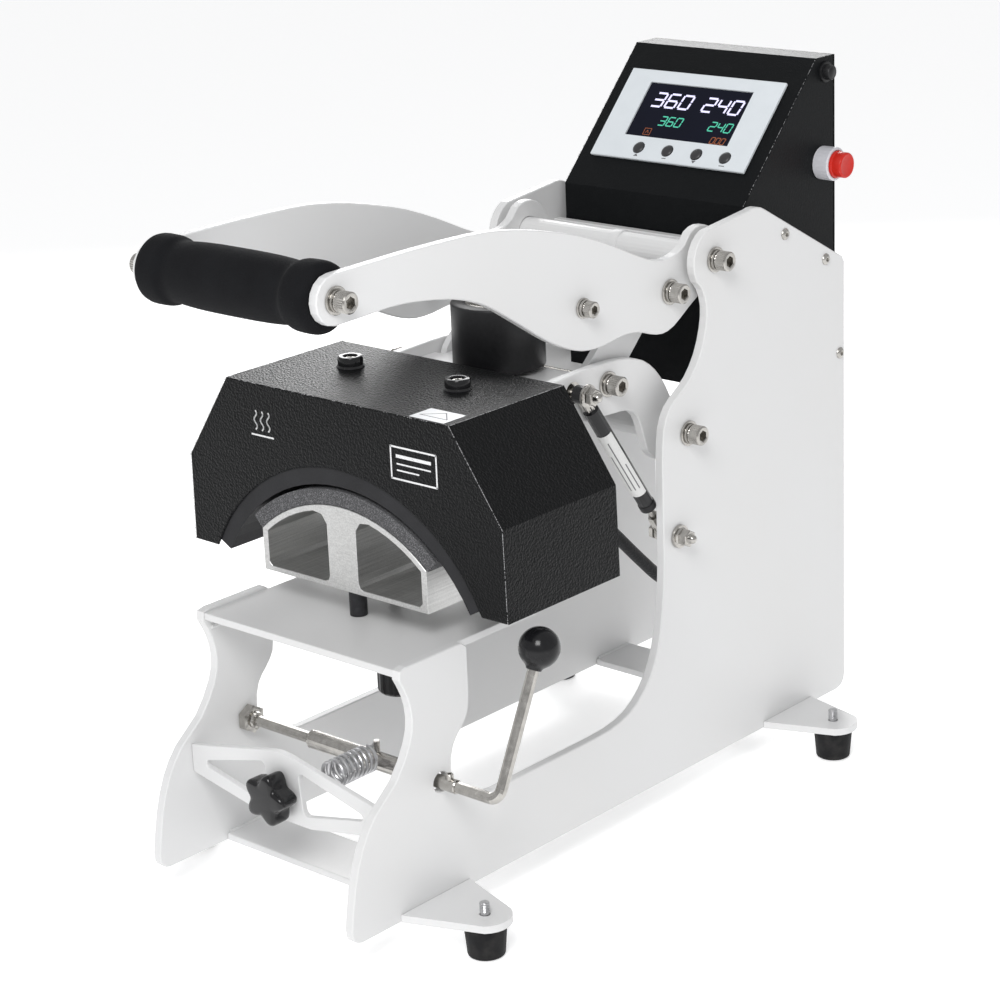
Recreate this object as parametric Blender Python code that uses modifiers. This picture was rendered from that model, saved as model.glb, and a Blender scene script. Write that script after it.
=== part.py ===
"""Clamshell heat press with an arched lower platen, built as separate parts.

Every size below is in millimetres; the shape functions turn it into metres.
X runs across the press, Y from the front to the back, Z up.
Lengths along Y start at the rear edge of the two side plates. Heights start 20 mm
below the side plates' lower edges, which is a little above the floor.
"""

import math

import bmesh
import bpy
from mathutils import Matrix, Vector

MM = 0.001
GAP = 0.3

# The origin of the part is the middle of its outer box, on the floor.
ORIGIN_X = 2.0
ORIGIN_Y = -310.9
FLOOR_Z = -6.5

# Frame: two side plates joined by cross bars, standing on four rubber feet.
PLATE_OUT = 110.0
PLATE_IN = 102.0
PLATE_BASE_Z = 20.0
COLUMN_TOP_Z = 219.5
PLATFORM_TOP_Z = 217.2
PLATFORM_THICK = 6.0
FOOT_PLATE_THICK = 6.0
FOOT_RADIUS = 16.6
STUD_TOP_Z = 36.0
EAR_RADIUS = 21.0

# Pivots in the (y, z) plane. Opening the press turns every one of them about X.
HANDLE_PIVOT = (-182.0, 449.0)
ARM_PIVOT = (-221.0, 313.0)
LINK_TOP = (-223.5, 429.2)
LINK_FOOT = (-292.2, 367.5)
GRIP_AXIS = (-596.0, 502.0)
TIE_ROD_AXIS = (-331.5, 439.2)
GAS_TOP = (-334.0, 370.0)
GAS_FOOT = (-236.0, 229.0)
CLAMP_AXIS = (-529.0, 116.6)

# Planes of the moving plates, measured from the middle of the press.
HANDLE_OUT = 96.0
HANDLE_IN = 88.0
ARM_OUT = 86.0
ARM_IN = 78.0
LINK_OUT = 76.0
LINK_IN = 70.0
GAS_X = 94.6
GAS_RADIUS = 6.6

# Upper platen, its hood and the arched lower platen share one arch centre.
HOOD_FRONT_Y = -511.0
HOOD_BACK_Y = -381.0
ARCH_Z = 176.5
PLATEN_RADIUS = 132.0
PAD_RADIUS = 144.5
HEATER_IN_RADIUS = 147.7
HEATER_OUT_RADIUS = 163.5
PLATEN_HALF = 88.0
PLATEN_BASE_Z = 240.7
PLATEN_BACK_Y = -393.0

# Pressure screw, lock knob and guide post.
SCREW_Y = -323.0
KNOB_RADIUS = 37.5
KNOB_BASE_Z = 378.0
KNOB_TOP_Z = 431.0
STUD_Y = -456.0
POST_Y = -497.0

# Star knob of the cap clamp's spring.
STAR_FRONT_Y = -612.0
STAR_BACK_Y = -593.5
STAR_TURN = math.radians(14.0)

# Control box: a folded shell with a sloped face, held between the side plates.
BOX_HALF = 96.0
BOX_CREASE = (-124.0, 479.5)
BOX_BROW = (-21.0, 586.0)
BOX_BASE_Z = 319.0
BOX_BACK_Y = 4.0
BOX_WALL = 1.5
PANEL_WIDE = 164.0
PANEL_TALL = 90.0
STOP_AXIS = (-13.0, 497.0)

# Colours: base colour, roughness, metallic.
FINISHES = {
    "white_powder_coat": ((0.80, 0.80, 0.81), 0.45, 0.0),
    "black_wrinkle": ((0.012, 0.012, 0.013), 0.55, 0.0),
    "black_plastic": ((0.010, 0.010, 0.011), 0.30, 0.0),
    "foam_rubber": ((0.013, 0.013, 0.014), 0.85, 0.0),
    "rubber": ((0.015, 0.015, 0.015), 0.75, 0.0),
    "aluminium": ((0.72, 0.72, 0.71), 0.35, 1.0),
    "chrome": ((0.62, 0.60, 0.57), 0.15, 1.0),
    "zinc": ((0.55, 0.56, 0.57), 0.30, 1.0),
    "dark_casting": ((0.035, 0.036, 0.038), 0.60, 0.0),
    "silicone_pad": ((0.09, 0.09, 0.095), 0.90, 0.0),
    "white_label": ((0.86, 0.86, 0.88), 0.35, 0.0),
    "display_glass": ((0.005, 0.006, 0.012), 0.10, 0.0),
    "circuit_board": ((0.02, 0.16, 0.06), 0.50, 0.0),
    "grey_plastic": ((0.62, 0.62, 0.65), 0.35, 0.0),
    "red_plastic": ((0.80, 0.045, 0.02), 0.30, 0.0),
    "braided_sleeve": ((0.020, 0.020, 0.021), 0.80, 0.0),
}


def clear_scene():
    for obj in list(bpy.data.objects):
        bpy.data.objects.remove(obj, do_unlink=True)


clear_scene()
parts = bpy.data.collections.new("heat_press")
cutters = bpy.data.collections.new("heat_press_cutters")
cutters.hide_render = True
bpy.context.scene.collection.children.link(parts)
bpy.context.scene.collection.children.link(cutters)


def make_materials():
    made = {}
    for name, (colour, roughness, metallic) in FINISHES.items():
        material = bpy.data.materials.new(name)
        material.use_nodes = True
        shader = material.node_tree.nodes["Principled BSDF"]
        shader.inputs["Base Color"].default_value = (*colour, 1.0)
        shader.inputs["Roughness"].default_value = roughness
        shader.inputs["Metallic"].default_value = metallic
        made[name] = material
    return made


MATERIALS = make_materials()
origin = bpy.data.objects.new("press_origin", None)
origin.location = (-ORIGIN_X * MM, -ORIGIN_Y * MM, -FLOOR_Z * MM)
parts.objects.link(origin)


def empty(name, x, y, z, parent=origin):
    """An empty on a joint's axis; its children are placed relative to it."""
    made = bpy.data.objects.new(name, None)
    made.location = (x * MM, y * MM, z * MM)
    made.parent = parent
    made["at"] = [x, y, z]
    parts.objects.link(made)
    return made


def seat(obj, matrix, finish, pivot=None):
    """Place an object whose matrix is in press millimetres under its pivot empty."""
    place = matrix.copy()
    place.translation = matrix.translation * MM
    if pivot is None:
        obj.parent = origin
    else:
        obj.parent = pivot
        place.translation -= Vector(pivot["at"]) * MM
    obj.matrix_local = place
    if finish is not None:
        obj.data.materials.clear()
        obj.data.materials.append(MATERIALS[finish])
    return obj


def link_mesh(name, mesh, cutter=False):
    obj = bpy.data.objects.new(name, mesh)
    if cutter:
        cutters.objects.link(obj)
        obj.hide_render = True
        obj.display_type = "WIRE"
    else:
        parts.objects.link(obj)
    return obj


PLANES = {
    "X": Matrix(((0, 0, 1), (1, 0, 0), (0, 1, 0))).to_4x4(),
    "Y": Matrix(((1, 0, 0), (0, 0, -1), (0, 1, 0))).to_4x4(),
    "Z": Matrix.Identity(4),
}


def plane_matrix(axis, depth):
    """The plane at this depth along an axis: X reads (y, z), Y reads (x, z), Z reads (x, y)."""
    offset = {"X": (depth, 0, 0), "Y": (0, depth, 0), "Z": (0, 0, depth)}[axis]
    return Matrix.Translation(offset) @ PLANES[axis]


def arc(centre, radius, start, end, count):
    """Points of an arc, in degrees from its plane's first axis."""
    points = []
    for step in range(count + 1):
        angle = math.radians(start + (end - start) * step / count)
        points.append((centre[0] + radius * math.cos(angle), centre[1] + radius * math.sin(angle)))
    return points


def circle(centre, radius, count=16):
    return arc(centre, radius, 0.0, 360.0 * (count - 1) / count, count - 1)


def fillet(corners, count=4):
    """A closed outline from (u, v, radius) corners, each rounded by its radius."""
    outline = []
    for index, (u, v, radius) in enumerate(corners):
        here = Vector((u, v))
        before = Vector(corners[index - 1][:2]) - here
        after = Vector(corners[(index + 1) % len(corners)][:2]) - here
        if radius <= 0:
            outline.append((u, v))
            continue
        half = before.angle(after) / 2
        reach = radius / math.tan(half)
        middle = here + (before.normalized() + after.normalized()).normalized() * radius / math.sin(half)
        first = here + before.normalized() * reach - middle
        last = here + after.normalized() * reach - middle
        start = math.atan2(first.y, first.x)
        turn = math.remainder(math.atan2(last.y, last.x) - start, math.tau)
        for step in range(count + 1):
            angle = start + turn * step / count
            outline.append((middle.x + radius * math.cos(angle), middle.y + radius * math.sin(angle)))
    return outline


def smooth(points, count=2):
    """An open Catmull-Rom curve through the points."""
    full = [points[0]] + list(points) + [points[-1]]
    curve = []
    for i in range(1, len(full) - 2):
        a, b, c, d = (Vector(p) for p in full[i - 1 : i + 3])
        for step in range(count):
            t = step / count
            p = 0.5 * (2 * b + (c - a) * t + (2 * a - 5 * b + 4 * c - d) * t**2
                       + (3 * b - a - 3 * c + d) * t**3)
            curve.append((p.x, p.y))
    curve.append(tuple(points[-1]))
    return curve


def curve_mesh(name, curve):
    """The mesh of a curve with its loose caps welded on."""
    source = bpy.data.objects.new(name + "_curve", curve)
    bpy.context.scene.collection.objects.link(source)
    graph = bpy.context.evaluated_depsgraph_get()
    mesh = bpy.data.meshes.new_from_object(source.evaluated_get(graph))
    bpy.data.objects.remove(source, do_unlink=True)
    work = bmesh.new()
    work.from_mesh(mesh)
    bmesh.ops.remove_doubles(work, verts=work.verts, dist=0.00002)
    bmesh.ops.recalc_face_normals(work, faces=work.faces)
    work.to_mesh(mesh)
    work.free()
    mesh.name = name
    return mesh


def plate(name, axis, low, high, loops, finish, pivot=None, edge=0.5, cutter=False):
    """A flat part: 2D outlines, the first the rim and the rest its holes, given a thickness."""
    curve = bpy.data.curves.new(name, "CURVE")
    curve.dimensions = "2D"
    curve.fill_mode = "BOTH"
    curve.extrude = ((high - low) / 2 - edge) * MM
    if edge > 0:
        curve.bevel_depth = edge * MM
        curve.bevel_resolution = 0
        curve.offset = -edge * MM
    for loop in loops:
        spline = curve.splines.new("POLY")
        spline.points.add(len(loop) - 1)
        for point, (u, v) in zip(spline.points, loop):
            point.co = (u * MM, v * MM, 0.0, 1.0)
        spline.use_cyclic_u = True
    obj = link_mesh(name, curve_mesh(name, curve), cutter)
    obj.data.shade_smooth()
    obj.data.set_sharp_from_angle(angle=math.radians(30))
    return seat(obj, plane_matrix(axis, (low + high) / 2), finish, pivot)


AXES = {
    "+X": Matrix(((0, 0, 1), (0, 1, 0), (-1, 0, 0))).to_4x4(),
    "-Y": Matrix(((1, 0, 0), (0, 0, -1), (0, 1, 0))).to_4x4(),
    "+Y": Matrix(((1, 0, 0), (0, 0, 1), (0, -1, 0))).to_4x4(),
    "+Z": Matrix.Identity(4),
}


def turned(name, at, axis, profile, finish, pivot=None, steps=24, cutter=False):
    """A turned part: (radius, height) pairs from the top down the outer side.

    A profile that starts and ends on the axis is solid, any other is a closed ring.
    """
    work = bmesh.new()
    verts = [work.verts.new((radius * MM, 0.0, height * MM)) for radius, height in profile]
    for first, second in zip(verts, verts[1:]):
        work.edges.new((first, second))
    if profile[0][0] > 0 or profile[-1][0] > 0:
        work.edges.new((verts[-1], verts[0]))
    mesh = bpy.data.meshes.new(name)
    work.to_mesh(mesh)
    work.free()
    obj = link_mesh(name, mesh, cutter)
    screw = obj.modifiers.new("turn", "SCREW")
    screw.steps = steps
    screw.render_steps = steps
    screw.use_merge_vertices = True
    screw.merge_threshold = 0.00001
    screw.use_smooth_shade = False
    matrix = Matrix.Translation(at) @ (AXES[axis] if isinstance(axis, str) else axis)
    return seat(obj, matrix, finish, pivot)


def box(name, low, high, finish, pivot=None, bevel=0.0, cutter=False, frame=None):
    """A block between two corners, in a frame of its own where it is tilted."""
    size = [(b - a) * MM for a, b in zip(low, high)]
    middle = Vector([(a + b) / 2 for a, b in zip(low, high)])
    mesh = bpy.data.meshes.new(name)
    work = bmesh.new()
    bmesh.ops.create_cube(work, size=1.0)
    bmesh.ops.scale(work, vec=size, verts=work.verts)
    work.to_mesh(mesh)
    work.free()
    obj = link_mesh(name, mesh, cutter)
    if bevel > 0:
        rounding = obj.modifiers.new("bevel", "BEVEL")
        rounding.width = bevel * MM
        rounding.segments = 1
    matrix = (frame or Matrix.Identity(4)) @ Matrix.Translation(middle)
    return seat(obj, matrix, finish, pivot)


def tube(name, points, radius, finish, pivot=None, sides=3, cutter=False):
    """A round bar along a path of points."""
    curve = bpy.data.curves.new(name, "CURVE")
    curve.dimensions = "3D"
    curve.bevel_depth = radius * MM
    curve.bevel_resolution = sides
    curve.use_fill_caps = True
    spline = curve.splines.new("POLY")
    spline.points.add(len(points) - 1)
    for point, place in zip(spline.points, points):
        point.co = (*(c * MM for c in place), 1.0)
    obj = link_mesh(name, curve_mesh(name, curve), cutter)
    obj.data.shade_smooth()
    obj.data.set_sharp_from_angle(angle=math.radians(40))
    return seat(obj, Matrix.Identity(4), finish, pivot)


def boolean(target, tool, operation="DIFFERENCE"):
    change = target.modifiers.new(operation.lower(), "BOOLEAN")
    change.operation = operation
    change.object = tool
    return target


def mirrored(points):
    """The whole outline of a part that is the same on both sides of the middle."""
    return list(points) + [(-u, v) for u, v in reversed(points) if abs(u) > 0.001]


def shaft_profile(length, radius, head, washer=10.5):
    """A pivot bolt seen from its middle: washers and a cylinder head at both ends."""
    half = length / 2
    return [
        (0.0, half + 16.0), (head, half + 16.0), (head, half + 5.5), (washer, half + 5.5),
        (washer, half + GAP), (radius, half + GAP), (radius, -half - GAP), (washer, -half - GAP),
        (washer, -half - 5.5), (head, -half - 5.5), (head, -half - 16.0), (0.0, -half - 16.0),
    ]


# ---------------------------------------------------------------- frame

def side_plate_outline():
    front = smooth([(-568.0, 211.0), (-560.0, 195.0), (-556.5, 176.0), (-561.0, 157.0), (-577.0, 133.0),
                    (-600.0, 115.0), (-615.0, 94.0), (-625.0, 66.0), (-631.0, 34.0)])
    sole = arc((-621.0, 30.0), 10.0, 170.0, 270.0, 4) + arc((-12.0, 32.0), 12.0, -90.0, 0.0, 4)
    roof = [(0.0, 411.0), (-3.0, 415.5)] + arc((-127.0, 455.0), 26.0, 60.0, 106.0, 4)
    lobe = arc(HANDLE_PIVOT, 27.0, 112.0, 196.0, 6)
    throat = smooth([(-205.0, 434.5), (-198.0, 427.0), (-193.0, 412.0), (-195.0, 394.0), (-203.0, 374.0),
                     (-216.0, 358.0), (-231.0, 348.0), (-244.0, 338.5), (-252.0, 323.0), (-254.5, 299.0)])
    heel = smooth([(-255.0, 217.0), (-256.5, 190.0), (-262.0, 155.0), (-270.0, 130.0), (-284.0, 110.0),
                   (-304.0, 96.0), (-330.0, 90.0), (-362.0, 89.0)])
    rise = smooth([(-470.0, 89.0), (-492.0, 93.0), (-509.0, 105.0), (-517.0, 122.0), (-513.5, 141.0),
                   (-504.0, 152.0), (-496.0, 163.0), (-494.0, 180.0)])
    head = [(-494.0, 215.0), (-500.0, COLUMN_TOP_Z), (-560.0, COLUMN_TOP_Z), (-567.0, 218.0)]
    return front + sole + roof + lobe + throat + heel + rise + head


def build_frame():
    outline = side_plate_outline()
    holes = [circle(HANDLE_PIVOT, 5.3), circle(ARM_PIVOT, 5.3), circle(CLAMP_AXIS, 8.0, 20),
             circle(GAS_FOOT, 4.3, 12)]
    for side, low, high in (("right", PLATE_IN, PLATE_OUT), ("left", -PLATE_OUT, -PLATE_IN)):
        plate(f"side_plate_{side}", "X", low, high, [outline] + holes, "white_powder_coat", edge=0.8)

    inner = PLATE_IN - GAP
    deck = fillet([(-inner, -566.0, 0.0), (inner, -566.0, 0.0), (inner, -405.0, 0.0), (-inner, -405.0, 0.0)])
    plate("platform", "Z", PLATFORM_TOP_Z - PLATFORM_THICK, PLATFORM_TOP_Z,
          [deck, circle((0.0, STUD_Y), 6.0, 20)], "white_powder_coat")
    base = PLATE_BASE_Z
    box("front_crossbar", (-inner, -560.0, base), (inner, -508.0, base + 6.0), "white_powder_coat", bevel=0.6)
    box("rear_crossbar", (-inner, -95.0, base), (inner, -45.0, base + 6.0), "white_powder_coat", bevel=0.6)
    box("tower_crossbar", (-inner, -134.0, 424.0), (inner, -126.0, 449.0), "white_powder_coat", bevel=0.6)

    arch = mirrored([(0.0, 134.0), (8.0, 133.4), (inner, 114.0), (inner, 91.0), (28.0, 77.0), (0.0, 77.0)])
    window = fillet([(18.0, 122.0, 4.0), (88.0, 104.0, 3.0), (84.0, 99.5, 2.0), (22.0, 86.0, 5.0)])
    windows = [window, [(-u, v) for u, v in window]]
    plate("truss_bracket", "Y", -590.0, -585.0, [arch, *windows, circle((0.0, 101.0), 5.3, 16)],
          "white_powder_coat")

    for row, stud_x, stud_y, front_y, back_y in (("front", 159.0, -540.0, -580.0, -503.0),
                                                 ("rear", 156.0, -84.0, -123.0, -52.0)):
        ear = [(PLATE_OUT + GAP, front_y)] + arc((stud_x, stud_y), EAR_RADIUS, -50.0, 62.0, 8)
        ear += [(PLATE_OUT + GAP, back_y)]
        for side, sign in (("right", 1.0), ("left", -1.0)):
            loop = [(sign * u, v) for u, v in ear]
            hole = circle((sign * stud_x, stud_y), 4.4, 12)
            plate(f"foot_plate_{row}_{side}", "Z", base, base + FOOT_PLATE_THICK, [loop, hole],
                  "white_powder_coat", edge=0.0)
            turned(f"foot_{row}_{side}", (sign * stud_x, stud_y, 0.0), "+Z",
                   [(0.0, STUD_TOP_Z), (3.2, STUD_TOP_Z), (4.0, STUD_TOP_Z - 1.0), (4.0, base - GAP),
                    (FOOT_RADIUS, base - GAP), (FOOT_RADIUS - 2.2, FLOOR_Z + 1.0),
                    (FOOT_RADIUS - 3.2, FLOOR_Z), (0.0, FLOOR_Z)], "rubber", steps=16)

    turned("guide_post", (0.0, POST_Y, 0.0), "+Z",
           [(0.0, PLATEN_BASE_Z - GAP), (7.0, PLATEN_BASE_Z - GAP), (7.0, PLATFORM_TOP_Z + GAP),
            (0.0, PLATFORM_TOP_Z + GAP)], "black_plastic")
    for name, (y, z) in (("upper_pivot_shaft", HANDLE_PIVOT), ("lower_pivot_shaft", ARM_PIVOT)):
        turned(name, (0.0, y, z), "+X", shaft_profile(2 * PLATE_OUT, 5.0, 8.0), "chrome", steps=16)


# ---------------------------------------------------------------- lower platen

def build_lower_platen():
    corner_z = ARCH_Z + math.sqrt(PLATEN_RADIUS**2 - PLATEN_HALF**2)
    spread = math.degrees(math.asin(PLATEN_HALF / PLATEN_RADIUS))
    rim = [(-PLATEN_HALF, PLATEN_BASE_Z), (PLATEN_HALF, PLATEN_BASE_Z)]
    rim += arc((0.0, ARCH_Z), PLATEN_RADIUS, 90.0 - spread, 90.0 + spread, 20)
    wall = 4.2
    web = 15.5
    inner = PLATEN_RADIUS - wall - 0.6
    side = PLATEN_HALF - wall - 1.4
    floor_z = PLATEN_BASE_Z + wall
    side_z = ARCH_Z + math.sqrt(inner**2 - side**2)
    start = math.degrees(math.asin(side / inner))
    window = arc((0.0, ARCH_Z), inner, 90.0 - start, 76.5, 6)
    window += [(web + 5.0, 299.0), (web, 292.0), (web, floor_z + 5.0), (web + 1.5, floor_z + 1.5),
               (web + 5.0, floor_z), (side - 3.0, floor_z), (side, floor_z + 3.0)]
    windows = [window, [(-u, v) for u, v in window]]
    plate("lower_platen", "Y", HOOD_FRONT_Y, PLATEN_BACK_Y, [rim, *windows], "aluminium", edge=0.4)

    low = 90.0 - math.degrees(math.asin(PLATEN_HALF / PLATEN_RADIUS)) - 0.5
    pad = arc((0.0, ARCH_Z), PAD_RADIUS, low, 180.0 - low, 24)
    pad += arc((0.0, ARCH_Z), PLATEN_RADIUS + GAP, 180.0 - low, low, 24)
    plate("platen_pad", "Y", HOOD_FRONT_Y + 1.0, PLATEN_BACK_Y - 1.0, [pad], "silicone_pad", edge=0.0)

    pivot = empty("lock_knob_axis", 0.0, STUD_Y, 141.0)
    knob = turned("lock_knob", (0.0, STUD_Y, 0.0), "+Z",
                  [(0.0, PLATEN_BASE_Z - GAP), (4.8, PLATEN_BASE_Z - GAP), (4.8, 210.5), (11.0, 210.5),
                   (11.0, 172.0), (17.0, 171.0), (18.0, 169.5), (18.0, 143.0), (16.5, 141.0), (0.0, 141.0)],
                  "black_plastic", pivot, steps=24)
    for step in range(12):
        angle = math.tau * step / 12
        cut = turned(f"lock_knob_flute_{step}",
                     (18.6 * math.cos(angle), STUD_Y + 18.6 * math.sin(angle), 0.0), "+Z",
                     [(0.0, 180.0), (1.7, 180.0), (1.7, 130.0), (0.0, 130.0)], None, steps=8, cutter=True)
        boolean(knob, cut)


# ---------------------------------------------------------------- lower arm

def lower_arm_outline():
    top = smooth([(-352.0, 384.0), (-320.0, 385.0), (-288.0, 384.5), (-265.0, 382.0), (-246.0, 376.0),
                  (-231.0, 365.0), (-219.5, 351.0), (-212.5, 338.5)])
    boss = arc(ARM_PIVOT, 26.0, 62.0, -168.0, 12)
    belly = smooth([(-251.0, 322.0), (-256.0, 332.0), (-267.0, 339.5), (-282.0, 341.0)])
    nose = arc((-470.0, 365.5), 14.0, 270.0, 90.0, 6)
    return top + boss + belly + [(-352.0, 345.0), (-400.0, 351.5)] + nose


def build_lower_arm(pivot):
    outline = lower_arm_outline()
    holes = [circle(ARM_PIVOT, 10.25, 20), circle(LINK_FOOT, 5.3), circle(GAS_TOP, 4.3, 12)]
    for side, low, high in (("right", ARM_IN, ARM_OUT), ("left", -ARM_OUT, -ARM_IN)):
        plate(f"lower_arm_{side}", "X", low, high, [outline] + holes, "white_powder_coat", pivot, edge=0.8)
    y, z = ARM_PIVOT
    turned("lower_pivot_tube", (0.0, y, z), "+X",
           [(9.9, 100.0), (9.9, -100.0), (5.2, -100.0), (5.2, 100.0)], "white_powder_coat", pivot)
    y, z = LINK_FOOT
    turned("toggle_pin_lower", (0.0, y, z), "+X", shaft_profile(2 * ARM_OUT, 5.0, 8.0), "chrome", pivot, steps=16)
    half = ARM_IN - GAP
    web = [(-358.0, 361.5), (-358.0, 374.5), (-301.0, 374.5), (-301.0, 361.5), (-304.5, 361.5),
           (-304.5, 370.5), (-354.5, 370.5), (-354.5, 361.5)]
    channel = plate("cross_channel", "X", -half, half, [web], "white_powder_coat", pivot, edge=0.0)
    bore = turned("cross_channel_bore", (0.0, SCREW_Y, 365.0), "+Z",
                  [(0.0, 20.0), (8.3, 20.0), (8.3, -20.0), (0.0, -20.0)], None, cutter=True)
    boolean(channel, bore)
    for sign in (1.0, -1.0):
        notch = box("cross_channel_notch", (sign * 74.0 - 6.0, -316.0, 355.0), (sign * 74.0 + 6.0, -296.0, 380.0),
                    None, pivot, cutter=True)
        boolean(channel, notch)


# ---------------------------------------------------------------- upper platen

def hood_outline(inset):
    """Front outline of the hood, pulled in by the thickness of its sheet."""
    cut_z = 180.0
    cut_r = 158.0
    foot_x = 141.8
    spread = math.degrees(math.asin(foot_x / cut_r))
    shell = [(168.0 - inset, 250.0), (166.4 - inset, 322.5 - 0.4 * inset), (118.0 - 0.6 * inset, 393.0 - inset)]
    shell += [(-u, v) for u, v in reversed(shell)]
    return shell, arc((0.0, cut_z), cut_r, 90.0 + spread, 90.0 - spread, 22)


def build_upper_platen(arm_pivot):
    pivot = empty("pressure_slide_axis", 0.0, SCREW_Y, 352.0, arm_pivot)
    pivot.location = tuple((a - b) * MM for a, b in zip((0.0, SCREW_Y, 352.0), arm_pivot["at"]))
    shell, cut = hood_outline(0.0)
    hood = plate("hood", "Y", HOOD_FRONT_Y, HOOD_BACK_Y, [shell + cut], "black_wrinkle", pivot, edge=0.8)
    inner, _ = hood_outline(1.6)
    cavity = [(u, v if v > 260.0 else 240.0) for u, v in inner]
    boolean(hood, plate("hood_cavity", "Y", HOOD_FRONT_Y + 1.6, HOOD_BACK_Y + 20.0, [cavity], None,
                        pivot, edge=0.0, cutter=True))
    low = 180.0 - math.degrees(math.acos(-129.0 / HEATER_IN_RADIUS))
    arch = arc((0.0, ARCH_Z), HEATER_OUT_RADIUS, low, 180.0 - low, 24)
    arch += arc((0.0, ARCH_Z), HEATER_IN_RADIUS, 180.0 - low, low, 24)
    plate("heater_platen", "Y", HOOD_FRONT_Y + 2.0, HOOD_BACK_Y - 8.0, [arch], "dark_casting", pivot, edge=0.0)
    half = LINK_IN - 2.0
    top = 352.0
    saddle = arc((0.0, ARCH_Z), HEATER_OUT_RADIUS + GAP, 90.0 - 23.0, 90.0 + 23.0, 10)
    block = saddle + [(-half, top), (half, top)]
    carrier = plate("heater_carrier", "Y", -490.0, -395.0, [block], "dark_casting", pivot, edge=0.0)
    tongue = box("carrier_tongue", (-40.0, -400.0, 344.0), (40.0, -300.0, top), None, pivot, cutter=True)
    boolean(carrier, tongue, "UNION")
    spindle = turned("carrier_spindle", (0.0, SCREW_Y, 0.0), "+Z",
                     [(0.0, 424.0), (7.0, 424.0), (8.0, 423.0), (8.0, 346.0), (0.0, 346.0)], None, pivot,
                     cutter=True)
    boolean(carrier, spindle, "UNION")

    knob_axis = empty("pressure_knob_axis", 0.0, SCREW_Y, KNOB_BASE_Z, arm_pivot)
    knob_axis.location = tuple((a - b) * MM for a, b in zip((0.0, SCREW_Y, KNOB_BASE_Z), arm_pivot["at"]))
    turned("pressure_knob", (0.0, SCREW_Y, 0.0), "+Z",
           [(8.4, KNOB_TOP_Z), (26.0, KNOB_TOP_Z), (27.0, KNOB_TOP_Z - 1.0), (KNOB_RADIUS - 2.0, KNOB_TOP_Z - 1.0),
            (KNOB_RADIUS, KNOB_TOP_Z - 3.0), (KNOB_RADIUS, KNOB_BASE_Z + 1.5), (KNOB_RADIUS - 1.5, KNOB_BASE_Z),
            (14.0, KNOB_BASE_Z), (14.0, 374.5 + GAP), (8.4, 374.5 + GAP)], "black_plastic", knob_axis, steps=28)


# ---------------------------------------------------------------- handle

def handle_arm_outline():
    tip = arc((GRIP_AXIS[0], GRIP_AXIS[1]), 18.5, 90.0, 268.0, 8)
    under = smooth([(-572.0, 484.0), (-541.0, 485.0), (-513.0, 483.0), (-477.0, 477.0), (-449.0, 468.0),
                    (-428.0, 457.0), (-386.0, 430.0), (-364.0, 417.0), (-342.0, 407.5),
                    (-324.0, 403.5), (-305.0, 403.5), (-284.0, 406.0), (-265.0, 405.0), (-248.0, 399.5),
                    (-233.0, 396.5), (-218.0, 399.5), (-198.0, 411.0), (-172.0, 425.0)])
    boss = arc(HANDLE_PIVOT, 26.5, -57.0, 120.0, 12)
    over = smooth([(-203.0, 463.5), (-213.0, 458.5), (-230.0, 456.5), (-249.0, 461.0), (-271.0, 470.5),
                   (-296.0, 482.0), (-330.0, 495.5), (-361.0, 504.5), (-394.0, 512.5), (-426.0, 518.0),
                   (-457.0, 520.5), (-513.0, 521.5), (-560.0, 521.0)])
    return tip + under + boss + over


def build_handle(pivot):
    outline = handle_arm_outline()
    holes = [circle(HANDLE_PIVOT, 12.25, 24), circle(LINK_TOP, 5.3), circle(GRIP_AXIS, 5.3),
             circle(TIE_ROD_AXIS, 4.3, 12)]
    for side, low, high in (("right", HANDLE_IN, HANDLE_OUT), ("left", -HANDLE_OUT, -HANDLE_IN)):
        plate(f"handle_arm_{side}", "X", low, high, [outline] + holes, "white_powder_coat", pivot, edge=0.8)
    y, z = HANDLE_PIVOT
    turned("upper_pivot_tube", (0.0, y, z), "+X",
           [(11.9, 101.0), (11.9, -101.0), (5.2, -101.0), (5.2, 101.0)], "white_powder_coat", pivot)
    y, z = LINK_TOP
    turned("toggle_pin_upper", (0.0, y, z), "+X", shaft_profile(2 * HANDLE_OUT, 5.0, 8.0), "chrome", pivot, steps=16)
    y, z = TIE_ROD_AXIS
    turned("tie_rod", (0.0, y, z), "+X", shaft_profile(2 * HANDLE_OUT, 3.6, 6.5, 8.0), "chrome", pivot, steps=16)
    y, z = GRIP_AXIS
    turned("grip_rod", (0.0, y, z), "+X", shaft_profile(2 * HANDLE_OUT, 5.0, 8.0), "chrome", pivot, steps=16)
    end = HANDLE_IN - GAP
    half = [(22.5, end), (25.3, end - 1.5), (26.4, end - 6.0), (26.0, end - 19.0), (24.4, end - 24.0),
            (23.0, end - 28.0), (24.2, end - 50.0), (24.9, 0.0)]
    sleeve = half + [(r, -h) for r, h in reversed(half[:-1])]
    turned("foam_grip", (0.0, y, z), "+X", sleeve + [(5.3, -end), (5.3, end)], "foam_rubber", pivot, steps=24)


# ---------------------------------------------------------------- toggle links

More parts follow.
